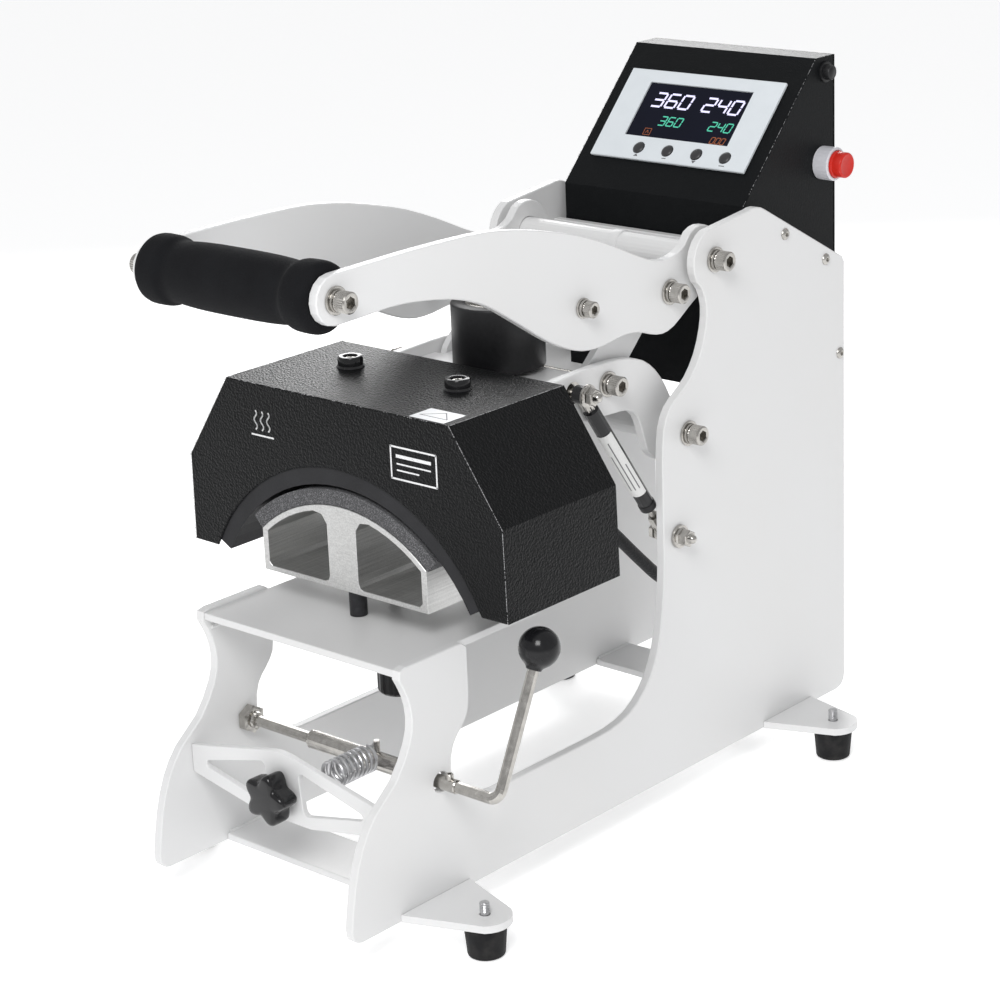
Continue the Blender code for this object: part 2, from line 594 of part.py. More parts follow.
def build_links(handle_pivot):
    place = (0.0, *LINK_TOP)
    pivot = empty("toggle_link_axis", *place, handle_pivot)
    pivot.location = tuple((a - b) * MM for a, b in zip(place, handle_pivot["at"]))
    along = Vector(LINK_FOOT) - Vector(LINK_TOP)
    way = math.degrees(math.atan2(along.y, along.x))
    outline = arc(LINK_FOOT, 19.5, way - 90.0, way + 90.0, 10)
    outline += arc(LINK_TOP, 17.0, way + 90.0, way + 270.0, 10)
    # The lower eye is a slot, so that the pin has room over the whole stroke.
    towards = -along.normalized()
    near = Vector(LINK_FOOT) + towards * 7.0
    slot = arc(LINK_FOOT, 8.6, way - 90.0, way + 90.0, 6)
    slot += arc((near.x, near.y), 8.6, way + 90.0, way + 270.0, 6)
    for side, low, high in (("right", LINK_IN, LINK_OUT), ("left", -LINK_OUT, -LINK_IN)):
        plate(f"toggle_link_{side}", "X", low, high, [outline, slot, circle(LINK_TOP, 5.3)],
              "white_powder_coat", pivot, edge=0.0)


# ---------------------------------------------------------------- gas springs

def build_gas_spring(side, sign, arm_pivot):
    foot = Vector((0.0, *GAS_FOOT))
    top = Vector((0.0, *GAS_TOP))
    along = (top - foot).normalized()
    frame = Matrix((Vector((1, 0, 0)), along.cross(Vector((1, 0, 0))), along)).transposed().to_4x4()
    span = (top - foot).length
    x = sign * GAS_X
    rod_pivot = empty(f"gas_rod_axis_{side}", x, *GAS_FOOT)
    rod = turned(f"gas_rod_{side}", (x, *GAS_FOOT), frame,
                 [(0.0, 96.0), (2.6, 96.0), (3.0, 95.0), (3.0, 20.0), (5.0, 20.0), (5.0, 4.0), (0.0, 4.0)],
                 "chrome", rod_pivot, steps=12)
    eye_half = 4.6
    for obj, pivot, at in ((rod, rod_pivot, GAS_FOOT),):
        eye = turned(f"gas_rod_eye_{side}", (x, *at), "+X",
                     [(7.2, eye_half), (7.2, -eye_half), (4.2, -eye_half), (4.2, eye_half)], None, pivot,
                     steps=16, cutter=True)
        bore = turned(f"gas_rod_bore_{side}", (x, *at), "+X",
                      [(0.0, 8.0), (4.2, 8.0), (4.2, -8.0), (0.0, -8.0)], None, pivot, steps=20, cutter=True)
        boolean(obj, eye, "UNION")
        boolean(obj, bore)
    place = (x, *GAS_TOP)
    top_pivot = empty(f"gas_cylinder_axis_{side}", *place, arm_pivot)
    top_pivot.location = tuple((a - b) * MM for a, b in zip(place, arm_pivot["at"]))
    cylinder = turned(f"gas_cylinder_{side}", (x, *GAS_FOOT), frame,
                      [(0.0, span - 4.0), (5.0, span - 4.0), (5.0, span - 16.0), (GAS_RADIUS, span - 18.0),
                       (GAS_RADIUS, 36.0), (GAS_RADIUS - 1.0, 34.0), (4.2, 34.0), (4.2, 128.0), (0.0, 128.0)],
                      "black_plastic", top_pivot, steps=16)
    eye = turned(f"gas_top_eye_{side}", (x, *GAS_TOP), "+X",
                 [(7.2, eye_half), (7.2, -eye_half), (4.2, -eye_half), (4.2, eye_half)], None, top_pivot,
                 steps=20, cutter=True)
    bore = turned(f"gas_top_bore_{side}", (x, *GAS_TOP), "+X",
                  [(0.0, 8.0), (4.2, 8.0), (4.2, -8.0), (0.0, -8.0)], None, top_pivot, steps=20, cutter=True)
    boolean(cylinder, eye, "UNION")
    boolean(cylinder, bore)


# ---------------------------------------------------------------- cap clamp

def build_clamp():
    y, z = CLAMP_AXIS
    pivot = empty("clamp_axis", 0.0, y, z)
    bend_x = 168.0
    ball = Vector((bend_x, -477.4, 222.0))
    foot = Vector((bend_x, y, z))
    way = (ball - foot).normalized()
    radius = 9.0
    path = [(-101.4, y, z), (bend_x - radius, y, z)]
    for step in range(1, 6):
        angle = math.radians(90.0 * step / 6)
        path.append(tuple(Vector((bend_x - radius, y, z)) + way * radius * (1 - math.cos(angle))
                          + Vector((radius * math.sin(angle), 0.0, 0.0))))
    path.append(tuple(foot + way * radius))
    path.append(tuple(foot + way * ((ball - foot).length - 14.0)))
    shaft = tube("clamp_shaft", path, 4.6, "chrome", pivot)
    sleeve = turned("clamp_sleeve", (0.0, y, z), "+X",
                    [(0.0, 127.0), (5.0, 127.0), (5.5, 126.0), (5.5, 100.6), (7.4, 100.0), (7.4, -26.0),
                     (6.4, -27.0), (0.0, -27.0)],
                    None, pivot, steps=20, cutter=True)
    boolean(shaft, sleeve, "UNION")
    peg = turned("clamp_peg", (43.5, y, z), "+Z",
                 [(0.0, 17.0), (2.5, 17.0), (2.5, 0.0), (0.0, 0.0)], None, pivot, steps=12, cutter=True)
    boolean(shaft, peg, "UNION")
    tilt = Vector((0, 0, 1)).rotation_difference(way).to_matrix().to_4x4()
    knob_low = (ball - foot).length - 15.0
    profile = [(0.0, 16.0)] + [(16.0 * math.cos(math.radians(a)), 16.0 * math.sin(math.radians(a)))
                               for a in (72, 54, 36, 18, 0, -18, -36, -54)]
    profile += [(7.0, -14.6), (7.0, -20.0), (4.9, -20.0), (4.9, -13.6), (0.0, -13.6)]
    turned("ball_knob", ball, tilt, profile, "black_plastic", pivot, steps=20)
    assert knob_low > 0

    coil = []
    turns = 7.5
    front_y = -584.0
    back_y = y - 9.0
    for step in range(int(turns * 10) + 1):
        part = step / (turns * 10)
        angle = math.tau * turns * part
        coil.append((46.0 + 9.4 * math.cos(angle), front_y + 8.0 + (back_y - front_y - 11.0) * part,
                     122.0 + 9.4 * math.sin(angle)))
    tube("clamp_spring", coil, 1.3, "zinc", sides=0)

    star_axis = empty("star_knob_axis", 0.0, -600.0, 101.0)
    lobes = []
    for step in range(40):
        angle = math.tau * step / 40
        reach = 18.0 + 3.2 * math.cos(5 * (angle - STAR_TURN))
        lobes.append((reach * math.sin(angle), 101.0 + reach * math.cos(angle)))
    knob = plate("star_knob", "Y", STAR_FRONT_Y, STAR_BACK_Y, [lobes], "black_plastic", star_axis, edge=1.6)
    bolt = turned("star_knob_bolt", (0.0, 0.0, 101.0), "-Y",
                  [(0.0, 596.0), (8.0, 596.0), (8.0, 590.3), (5.0, 590.3), (5.0, 578.0), (0.0, 578.0)],
                  None, star_axis, steps=20, cutter=True)
    boolean(knob, bolt, "UNION")


# ---------------------------------------------------------------- control box

def panel_frame():
    """The sloped face of the box: X across, Y up the slope, Z outwards, from its middle."""
    low = Vector((0.0, *BOX_CREASE))
    high = Vector((0.0, *BOX_BROW))
    up = (high - low).normalized()
    middle = (low + high) / 2
    out = Vector((1, 0, 0)).cross(up)
    frame = Matrix((Vector((1, 0, 0)), up, out)).transposed().to_4x4()
    return Matrix.Translation(middle) @ frame


def build_control_box():
    slope = panel_frame()
    back = BOX_BACK_Y
    outer = [BOX_CREASE, (BOX_CREASE[0], BOX_BASE_Z), (back, BOX_BASE_Z), (back, BOX_BROW[1]), BOX_BROW]
    shell = plate("control_box", "X", -BOX_HALF, BOX_HALF, [outer], "black_wrinkle", edge=0.8)
    w = BOX_WALL
    inner = [(BOX_CREASE[0] + w, BOX_CREASE[1] - 0.6), (BOX_CREASE[0] + w, BOX_BASE_Z + w),
             (back + 10.0, BOX_BASE_Z + w), (back + 10.0, BOX_BROW[1] - w), (BOX_BROW[0] + 0.6, BOX_BROW[1] - w)]
    boolean(shell, plate("box_cavity", "X", -BOX_HALF + w, BOX_HALF - w, [inner], None, edge=0.0, cutter=True))
    boolean(shell, box("box_window", (-70.0, -40.0, -8.0), (70.0, 36.0, 8.0), None, cutter=True, frame=slope))
    boolean(shell, turned("box_stop_hole", (90.0, *STOP_AXIS), "+X",
                          [(0.0, 12.0), (11.3, 12.0), (11.3, -4.0), (0.0, -4.0)], None, cutter=True))
    boolean(shell, turned("box_sleeve_hole", (0.0, -52.0, BOX_BASE_Z), "+Z",
                          [(0.0, 6.0), (8.0, 6.0), (8.0, -6.0), (0.0, -6.0)], None, cutter=True))

    cover = [(-BOX_HALF, BOX_BASE_Z), (BOX_HALF, BOX_BASE_Z), (BOX_HALF, BOX_BROW[1]), (-BOX_HALF, BOX_BROW[1])]
    slot = [(-72.0, 343.0), (-24.0, 343.0), (-24.0, 371.0), (-72.0, 371.0)]
    plate("box_back_cover", "Y", back + GAP, back + GAP + 1.6, [cover, slot], "black_wrinkle", edge=0.3)
    inlet = box("power_inlet", (-74.5, back + 2.2, 340.0), (-21.5, back + 5.2, 374.0), "black_plastic", bevel=0.8)
    boolean(inlet, box("inlet_body", (-71.5, back - 20.0, 343.5), (-24.5, back + 3.0, 370.5), None, cutter=True),
            "UNION")
    boolean(inlet, box("inlet_socket", (-62.0, back - 14.0, 347.5), (-34.0, back + 8.0, 366.5), None, cutter=True))

    centre_v = 0.8
    half_w = PANEL_WIDE / 2
    half_h = PANEL_TALL / 2
    bezel_out = 3.4
    bezel = box("display_bezel", (-half_w, centre_v - half_h, GAP), (half_w, centre_v + half_h, bezel_out),
                "white_label", bevel=0.6, frame=slope)
    window_low = (-55.6, -21.4)
    window_high = (54.2, 33.4)
    boolean(bezel, box("bezel_window", (*window_low, -3.0), (*window_high, 6.0), None, cutter=True, frame=slope))
    box("display", (window_low[0] + GAP, window_low[1] + GAP, -2.0), (window_high[0] - GAP, window_high[1] - GAP, 2.2),
        "display_glass", frame=slope)
    box("controller_board", (-66.0, -30.0, -12.0), (66.0, 32.0, -8.5), "circuit_board", frame=slope)
    for index, x in enumerate((-33.9, -3.1, 27.7, 57.7)):
        at = slope @ Vector((x, -32.8, 0.0))
        turn = slope.to_3x3().to_4x4()
        hole = turned(f"button_hole_{index + 1}", at, turn,
                      [(0.0, 8.0), (5.9, 8.0), (5.9, -4.0), (0.0, -4.0)], None, cutter=True, steps=20)
        boolean(bezel, hole)
        pivot = empty(f"button_axis_{index + 1}", *at)
        turned(f"button_{index + 1}", at, turn,
               [(0.0, 4.8), (4.6, 4.8), (5.5, 4.0), (5.5, -1.6), (0.0, -1.6)], "black_plastic", pivot, steps=20)

    y, z = STOP_AXIS
    turned("stop_collar", (0.0, y, z), "+X",
           [(12.0, 111.0), (13.2, 111.0), (14.2, 110.0), (14.2, BOX_HALF + GAP), (11.0, BOX_HALF + GAP),
            (11.0, 80.0), (9.0, 80.0), (9.0, 104.0), (12.0, 104.0)], "grey_plastic", steps=24)
    pivot = empty("stop_button_axis", 111.0, y, z)
    turned("stop_button", (0.0, y, z), "+X",
           [(0.0, 122.0), (9.5, 122.0), (10.8, 120.8), (10.8, 113.0), (11.6, 112.0), (11.6, 108.5),
            (8.6, 108.5), (8.6, 86.0), (0.0, 86.0)], "red_plastic", pivot, steps=24)


def build_heater_sleeve():
    """The braided sleeve with the heater's leads, from the cross channel down and up into the box."""
    knots = [(0.0, -342.0, 339.0), (0.0, -335.0, 324.0), (0.0, -316.0, 304.0), (0.0, -290.0, 286.0),
             (0.0, -250.0, 256.0), (0.0, -210.0, 218.0), (0.0, -180.0, 189.0), (0.0, -150.0, 160.0),
             (0.0, -124.0, 137.0), (0.0, -97.0, 122.0), (0.0, -73.0, 128.0), (0.0, -60.0, 150.0),
             (0.0, -54.0, 190.0), (0.0, -52.0, 250.0), (0.0, -52.0, 330.0)]
    flat = smooth([(y, z) for _, y, z in knots])
    tube("heater_sleeve", [(0.0, y, z) for y, z in flat], 5.6, "braided_sleeve", sides=2)


build_frame()
build_lower_platen()
lower_arm_axis = empty("lower_arm_axis", 0.0, *ARM_PIVOT)
build_lower_arm(lower_arm_axis)
build_upper_platen(lower_arm_axis)
handle_axis = empty("handle_axis", 0.0, *HANDLE_PIVOT)
build_handle(handle_axis)
build_links(handle_axis)
for side, sign in (("right", 1.0), ("left", -1.0)):
    build_gas_spring(side, sign, lower_arm_axis)
build_clamp()
build_control_box()
build_heater_sleeve()
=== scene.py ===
import math
import random

import bmesh
import bpy
from mathutils import Matrix, Vector


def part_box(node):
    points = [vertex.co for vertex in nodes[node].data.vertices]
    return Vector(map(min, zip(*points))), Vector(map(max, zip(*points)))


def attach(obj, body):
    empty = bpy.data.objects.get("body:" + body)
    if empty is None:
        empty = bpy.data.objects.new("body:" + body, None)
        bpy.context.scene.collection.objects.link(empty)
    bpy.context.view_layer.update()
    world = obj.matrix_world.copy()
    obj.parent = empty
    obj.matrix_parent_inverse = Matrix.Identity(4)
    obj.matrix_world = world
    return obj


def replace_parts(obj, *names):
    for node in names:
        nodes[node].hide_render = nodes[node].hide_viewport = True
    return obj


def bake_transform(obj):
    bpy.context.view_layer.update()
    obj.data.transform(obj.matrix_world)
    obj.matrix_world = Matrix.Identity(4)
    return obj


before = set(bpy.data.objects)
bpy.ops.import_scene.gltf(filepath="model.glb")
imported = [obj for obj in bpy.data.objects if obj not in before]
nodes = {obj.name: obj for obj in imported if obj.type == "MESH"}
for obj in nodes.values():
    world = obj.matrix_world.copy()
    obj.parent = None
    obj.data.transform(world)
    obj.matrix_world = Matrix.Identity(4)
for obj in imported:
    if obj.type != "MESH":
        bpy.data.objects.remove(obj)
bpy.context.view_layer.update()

# Studio: the press stands on a pale floor under a large soft lamp at the front right and a smaller
# one behind, seen from the front right and a little above.
plate_low, plate_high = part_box("side_plate_right")
deck_low, deck_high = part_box("platform")


def at(x, y, z):
    """A place in millimetres from the press's middle plane, the back edge of its plates and a level
    20 mm under them."""
    return Vector(((deck_low.x + deck_high.x) / 2 + x / 1000, plate_high.y + y / 1000,
                   plate_low.z + (z - 20.0) / 1000))


turn, tilt, roll = math.radians(42.33), math.radians(18.28), math.radians(-2.42)
eye = at(1410.0, -1877.3, 956.3)
ahead = Vector((-math.sin(turn) * math.cos(tilt), math.cos(turn) * math.cos(tilt), -math.sin(tilt)))
level = Vector((math.cos(turn), math.sin(turn), 0.0))
upward = level.cross(ahead)
right = level * math.cos(roll) + upward * math.sin(roll)
above = upward * math.cos(roll) - level * math.sin(roll)
camera = bpy.data.objects.new("camera", bpy.data.cameras.new("camera"))
camera.matrix_world = Matrix.Translation(eye) @ Matrix((right, above, -ahead)).transposed().to_4x4()
camera.data.lens = 97.63
camera.data.sensor_width = 36.0
camera.data.clip_start = 0.05
bpy.context.scene.collection.objects.link(camera)
bpy.context.scene.camera = camera

world = bpy.data.worlds.new("studio")
world.use_nodes = True
sky = world.node_tree.nodes["Background"].inputs
sky["Color"].default_value = (0.985, 0.99, 1.0, 1.0)
sky["Strength"].default_value = 0.56
bpy.context.scene.world = world
bpy.context.scene.view_settings.view_transform = "Standard"
for name, spot, size, power in (("key_lamp", (900.0, -1700.0, 1650.0), 0.8, 24.0),
                                ("rear_lamp", (-1100.0, 1000.0, 1050.0), 1.0, 16.0)):
    lamp = bpy.data.objects.new(name, bpy.data.lights.new(name, "AREA"))
    lamp.data.size = size
    lamp.data.energy = power
    lamp.location = at(*spot)
    lamp.rotation_mode = "QUATERNION"
    lamp.rotation_quaternion = (at(0.0, -320.0, 280.0) - lamp.location).to_track_quat("-Z", "Y")
    bpy.context.scene.collection.objects.link(lamp)

floor_mesh = bpy.data.meshes.new("floor")
floor_mesh.from_pydata([(-40, -40, 0), (40, -40, 0), (40, 40, 0), (-40, 40, 0)], [], [(0, 1, 2, 3)])
floor = bpy.data.objects.new("floor", floor_mesh)
floor.location.z = -0.0004
floor_paint = bpy.data.materials.new("pale_floor")
floor_paint.use_nodes = True
floor_shader = floor_paint.node_tree.nodes["Principled BSDF"].inputs
floor_shader["Base Color"].default_value = (0.93, 0.93, 0.93, 1.0)
floor_shader["Roughness"].default_value = 0.8
floor_shader["Emission Color"].default_value = (1.0, 1.0, 1.0, 1.0)
floor_shader["Emission Strength"].default_value = 0.42
floor_mesh.materials.append(floor_paint)
bpy.context.scene.collection.objects.link(floor)


# Side plates: two laser-cut steel plates, 8 mm thick, with rounded edges and a baked white powder
# coat. They carry every pivot of the press.
class Value:
    """A number or a colour in a material. Arithmetic on it adds Math nodes."""

    def __init__(self, paint, socket):
        self.paint = paint
        self.socket = socket

    def math(self, operation, first, second):
        return self.paint.node("ShaderNodeMath", {0: first, 1: second}, operation=operation)

    def __add__(self, other):
        return self.math("ADD", self, other)

    def __mul__(self, other):
        return self.math("MULTIPLY", self, other)

    def __sub__(self, other):
        return self.math("SUBTRACT", self, other)

    def __rsub__(self, other):
        return self.math("SUBTRACT", other, self)

    __radd__ = __add__
    __rmul__ = __mul__


class Paint:
    """A finish, built node by node around one Principled shader."""

    def __init__(self, name, roughness=0.5, metallic=0.0, **steady):
        self.material = bpy.data.materials.new(name)
        self.material.use_nodes = True
        self.tree = self.material.node_tree
        self.shader = self.tree.nodes["Principled BSDF"]
        self.place = self.node("ShaderNodeTexCoord", out="Object")
        self.set(roughness=roughness, metallic=metallic, **steady)

    def node(self, kind, values=None, out=0, stops=None, **settings):
        made = self.tree.nodes.new(kind)
        for name, setting in settings.items():
            setattr(made, name, setting)
        for element, (position, grey) in zip(made.color_ramp.elements if stops else (), stops or ()):
            element.position = position
            element.color = (grey, grey, grey, 1.0)
        for key, value in (values or {}).items():
            self.feed(made.inputs[key], value)
        return Value(self, made.outputs[out])

    def feed(self, socket, value):
        if isinstance(value, Value):
            self.tree.links.new(value.socket, socket)
        elif socket.type == "RGBA" and len(value) == 3:
            socket.default_value = (*value, 1.0)
        else:
            socket.default_value = value

    def set(self, **values):
        for name, value in values.items():
            self.feed(self.shader.inputs[name.replace("_", " ").title().replace("Ior", "IOR")], value)
        return self

    def grain(self, scale, detail=2.0, stretch=(1.0, 1.0, 1.0)):
        """Noise of this many lumps per metre, drawn out along an axis by a small stretch."""
        place = self.node("ShaderNodeVectorMath", {0: self.place, 1: stretch}, operation="MULTIPLY")
        return self.node("ShaderNodeTexNoise", {"Vector": place, "Scale": scale, "Detail": detail}, out="Fac")

    def cells(self, scale, **settings):
        """Distance to the middle of the nearest of this many cells per metre."""
        values = {"Vector": self.place, "Scale": scale}
        return self.node("ShaderNodeTexVoronoi", values, out="Distance", **settings)

    def ramp(self, value, low, high):
        return self.node("ShaderNodeValToRGB", {"Fac": value}, stops=[(low, 0.0), (high, 1.0)])

    def blend(self, share, first, second):
        return self.node("ShaderNodeMix", {0: share, 6: first, 7: second}, out=2, data_type="RGBA")

    def tint(self, share, dark, light):
        """A base colour that drifts between two colours."""
        return self.set(base_color=self.blend(share, dark, light))

    def relief(self, height, depth, strength=1.0):
        """Bumps of this depth in millimetres."""
        bump = self.node("ShaderNodeBump", {"Height": height, "Distance": depth / 1000, "Strength": strength})
        return self.set(normal=bump)


def dress(paint, *names):
    for name in names:
        nodes[name].data.materials.clear()
        nodes[name].data.materials.append(paint.material)


def white_powder(name, shade):
    paint = Paint(name, coat_weight=0.12, coat_roughness=0.25)
    broad = paint.grain(7.0, 3.0)
    peel = paint.grain(420.0, 2.0)
    speck = paint.ramp(paint.grain(1500.0, 1.0), 0.70, 0.78)
    cool = tuple(shade * c for c in (0.985, 0.99, 1.0))
    warm = tuple(shade * 0.965 * c for c in (1.0, 0.995, 0.985))
    clean = paint.blend(broad, cool, warm)
    paint.tint(speck * 0.25, clean, (0.55, 0.55, 0.56))
    paint.set(roughness=0.34 + peel * 0.12)
    return paint.relief(peel, 0.05, 0.7)


powder = white_powder("white_powder_coat", 0.72)
dress(powder, "side_plate_left", "side_plate_right")

# Cross bars and the stiffening bracket: flat bars welded between the plates and coated with them.
# The welds show as low uneven beads along the joints.
dress(powder, "front_crossbar", "rear_crossbar", "tower_crossbar", "truss_bracket")


def keep(name, mesh, paint, body, sharp=35.0):
    """Turns a mesh into a piece. It rides on a body when one is given."""
    obj = bpy.data.objects.new(name, mesh)
    bpy.context.scene.collection.objects.link(obj)
    mesh.materials.append(paint.material)
    mesh.shade_smooth()
    mesh.set_sharp_from_angle(angle=math.radians(sharp))
    if body:
        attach(obj, body)
    return obj


def form(name, work, paint, body, sharp=35.0):
    """Keeps a piece whose faces were laid one by one."""
    mesh = bpy.data.meshes.new(name)
    work.to_mesh(mesh)
    work.free()
    return keep(name, mesh, paint, body, sharp)


def wire(name, points, radius, paint, body, sides=3, widths=None):
    """A round bar through points given in the row frame; widths swell or thin it."""
    curve = bpy.data.curves.new(name, "CURVE")
    curve.dimensions = "3D"
    curve.bevel_depth = radius / 1000
    curve.bevel_resolution = sides
    curve.use_fill_caps = True
    spline = curve.splines.new("POLY")
    spline.points.add(len(points) - 1)
    for index, (point, place) in enumerate(zip(spline.points, points)):
        point.co = (*place, 1.0)
        point.radius = widths[index] if widths else 1.0
    source = bpy.data.objects.new(name + "_curve", curve)
    bpy.context.scene.collection.objects.link(source)
    mesh = bpy.data.meshes.new_from_object(source.evaluated_get(bpy.context.evaluated_depsgraph_get()))
    bpy.data.objects.remove(source)
    mesh.materials.clear()
    return keep(name, mesh, paint, body)


def weld_bead(name, start, end, radius=1.9):
    """A bead laid in short overlapping drops."""
    count = max(6, int((end - start).length * 1000 / 1.1))
    points = [start.lerp(end, step / count) for step in range(count + 1)]
    widths = [0.86 + 0.14 * math.sin(step * 2.1) + 0.05 * math.sin(step * 5.3) for step in range(count + 1)]
    wire(name, points, radius, powder, "frame", 1, widths)


for sign, side in ((-1.0, "left"), (1.0, "right")):
    x = sign * 101.6
    weld_bead(f"front_bar_weld_{side}", at(x, -557.0, 26.2), at(x, -511.0, 26.2))
    weld_bead(f"rear_bar_weld_{side}", at(x, -92.0, 26.2), at(x, -48.0, 26.2))
    weld_bead(f"bracket_weld_{side}", at(x, -584.8, 93.0), at(x, -584.8, 112.0))
    weld_bead(f"platform_weld_{side}", at(x, -560.0, 204.0), at(x, -500.0, 204.0), 2.2)

# Platform: a folded shelf of the same steel between the two columns, where the cap's crown goes
# round the lower platen. Its coat is painted a little darker than the plates: painted shade between the
# columns.
shaded_powder = white_powder("shaded_powder_coat", 0.70)
dress(shaded_powder, "platform")

# Foot plates and feet: cut ears welded under the plates. Each holds a rubber foot on a zinc stud,
# locked by a nut below the ear.
dress(powder, *(f"foot_plate_{row}_{side}" for row in ("front", "rear") for side in ("left", "right")))


def lathe(name, spot, axis, profile, paint, body, steps=48, sharp=35.0):
    """A turned piece. Its profile runs from the top down the outside as (radius, height, cut) in
    millimetres, where the cut is "rib" for a ring knurled 0.4 mm deep and "hex" for a six-sided one."""
    work = bmesh.new()
    rings = []
    for radius, height, *cut in profile:
        ring = []
        for step in range(1 if radius < 0.001 else steps):
            angle = math.tau * step / steps
            reach = radius
            if cut == ["rib"] and step % 2:
                reach = radius - 0.4
            if cut == ["hex"]:
                reach = radius / math.cos(angle % (math.pi / 3) - math.pi / 6)
            ring.append(work.verts.new((reach * math.cos(angle) / 1000, reach * math.sin(angle) / 1000,
                                        height / 1000)))
        rings.append(ring)
    if len(rings[0]) > 1:
        rings.append(rings[0])
    for upper, lower in zip(rings, rings[1:]):
        for step in range(steps):
            one = [upper[step % len(upper)], upper[(step + 1) % len(upper)]]
            two = [lower[(step + 1) % len(lower)], lower[step % len(lower)]]
            corners = list(dict.fromkeys(two[::-1] + one[::-1]))
            if len(corners) > 2:
                work.faces.new(corners)
    bmesh.ops.recalc_face_normals(work, faces=work.faces)
    axis = Vector(axis).normalized()
    matrix = Matrix.Translation(spot) @ Vector((0, 0, 1)).rotation_difference(axis).to_matrix().to_4x4()
    bmesh.ops.transform(work, matrix=matrix, verts=work.verts)
    return form(name, work, paint, body, sharp)


def thread(radius, top, bottom, pitch=1.25):
    """The outline of a thread, crest after crest, as a turned profile."""
    crests = int((top - bottom) / pitch)
    return [point for k in range(crests) for point in ((radius, top - k * pitch),
                                                       (radius - 0.55, top - (k + 0.5) * pitch))]


zinc = Paint("zinc_plate", metallic=1.0)
zinc_tone = zinc.grain(260.0, 3.0)
zinc.tint(zinc_tone, (0.40, 0.40, 0.41), (0.68, 0.68, 0.69))
zinc.set(roughness=0.20 + zinc_tone * 0.2)
zinc.relief(zinc.grain(900.0), 0.04)
sole_rubber = Paint("foot_rubber", specular_ior_level=0.12)
sole_dust = sole_rubber.ramp(sole_rubber.grain(90.0, 4.0), 0.45, 0.75)
sole_rubber.tint(sole_dust, (0.012, 0.012, 0.013), (0.035, 0.034, 0.033))
sole_rubber.set(roughness=0.55 + sole_dust * 0.25).relief(sole_rubber.grain(1400.0), 0.08)
for row, x, y in (("front", 159.0, -540.0), ("rear", 156.0, -84.0)):
    for sign, side in ((-1.0, "left"), (1.0, "right")):
        foot = lathe(f"rubber_foot_{row}_{side}", at(sign * x, y, 0.0), (0, 0, 1),
                     [(0.0, 19.6), (15.9, 19.6), (16.6, 18.9), (16.6, 17.6), (14.6, -5.0), (14.2, -6.0),
                      (13.4, -6.5), (4.0, -6.5), (3.2, -3.5), (0.0, -3.5)],
                     sole_rubber, "frame", 40, 50.0)
        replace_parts(foot, f"foot_{row}_{side}")
        lathe(f"foot_stud_{row}_{side}", at(sign * x, y, 0.0), (0, 0, 1),
              [(0.0, 36.0), (3.1, 36.0), (3.9, 35.2), *thread(4.0, 34.8, 26.4), (4.0, 19.0), (0.0, 19.0)],
              zinc, "frame", 24, 25.0)

# Guide post: a short round pin welded to the platform under the front of the lower platen, which
# stops it turning. Its foot has a weld ring.
black_oxide = Paint("black_oxide", metallic=0.6)
oxide_tone = black_oxide.grain(300.0, 3.0)
black_oxide.tint(oxide_tone, (0.02, 0.02, 0.022), (0.05, 0.05, 0.055))
black_oxide.set(roughness=0.3 + oxide_tone * 0.25).relief(oxide_tone, 0.06)
dress(black_oxide, "guide_post")

# Lower platen: a sawn length of hollow aluminium extrusion with an arched top. The die leaves fine
# lines along it, and the saw leaves arcs on its cut face.
extrusion = Paint("extruded_aluminium", metallic=1.0)
die_lines = extrusion.grain(900.0, 4.0, (1.0, 0.02, 1.0))
saw_marks = extrusion.grain(1100.0, 3.0, (0.10, 1.0, 1.0))
handled = extrusion.grain(28.0, 4.0)
bright = extrusion.ramp(die_lines * 0.55 + saw_marks * 0.3 + handled * 0.15, 0.34, 0.66)
extrusion.tint(bright, (0.46, 0.46, 0.455), (0.70, 0.70, 0.69))
extrusion.set(roughness=0.34 + die_lines * 0.22).relief(die_lines + saw_marks * 0.6, 0.08, 0.6)
dress(extrusion, "lower_platen")

# Pad: a sheet of closed-cell silicone sponge bonded over the arch. It is dark grey with pale grains
# and small open cells.
sponge = Paint("silicone_sponge", specular_ior_level=0.3)
cells = sponge.cells(1150.0)
pale = sponge.ramp(sponge.grain(1700.0, 2.0), 0.52, 0.66)
sponge.tint(pale, (0.070, 0.070, 0.073), (0.26, 0.26, 0.27))
sponge.set(roughness=0.82 + cells * 0.15).relief(cells + pale * 0.4, 0.35)
dress(sponge, "platen_pad")

# Lock knob: a fluted moulded plastic knob under the platform, on a stud that pulls the lower platen
# down on it.
moulded = Paint("moulded_black_plastic", specular_ior_level=0.3)
moulded_tone = moulded.grain(500.0, 2.0)
moulded.tint(moulded_tone, (0.006, 0.006, 0.007), (0.016, 0.016, 0.017))
moulded.set(roughness=0.28 + moulded_tone * 0.12).relief(moulded_tone, 0.03)
dress(moulded, "lock_knob")

# Pivot bolts: plated socket-head screws in both ends of each shaft, with a flat washer and a spring
# washer under a knurled head.
nickel = Paint("bright_nickel", metallic=1.0)
nickel_tone = nickel.grain(180.0, 3.0)
nickel.tint(nickel_tone, (0.30, 0.29, 0.27), (0.62, 0.60, 0.57))
nickel.set(roughness=0.16 + nickel_tone * 0.16).relief(nickel.grain(700.0), 0.03)


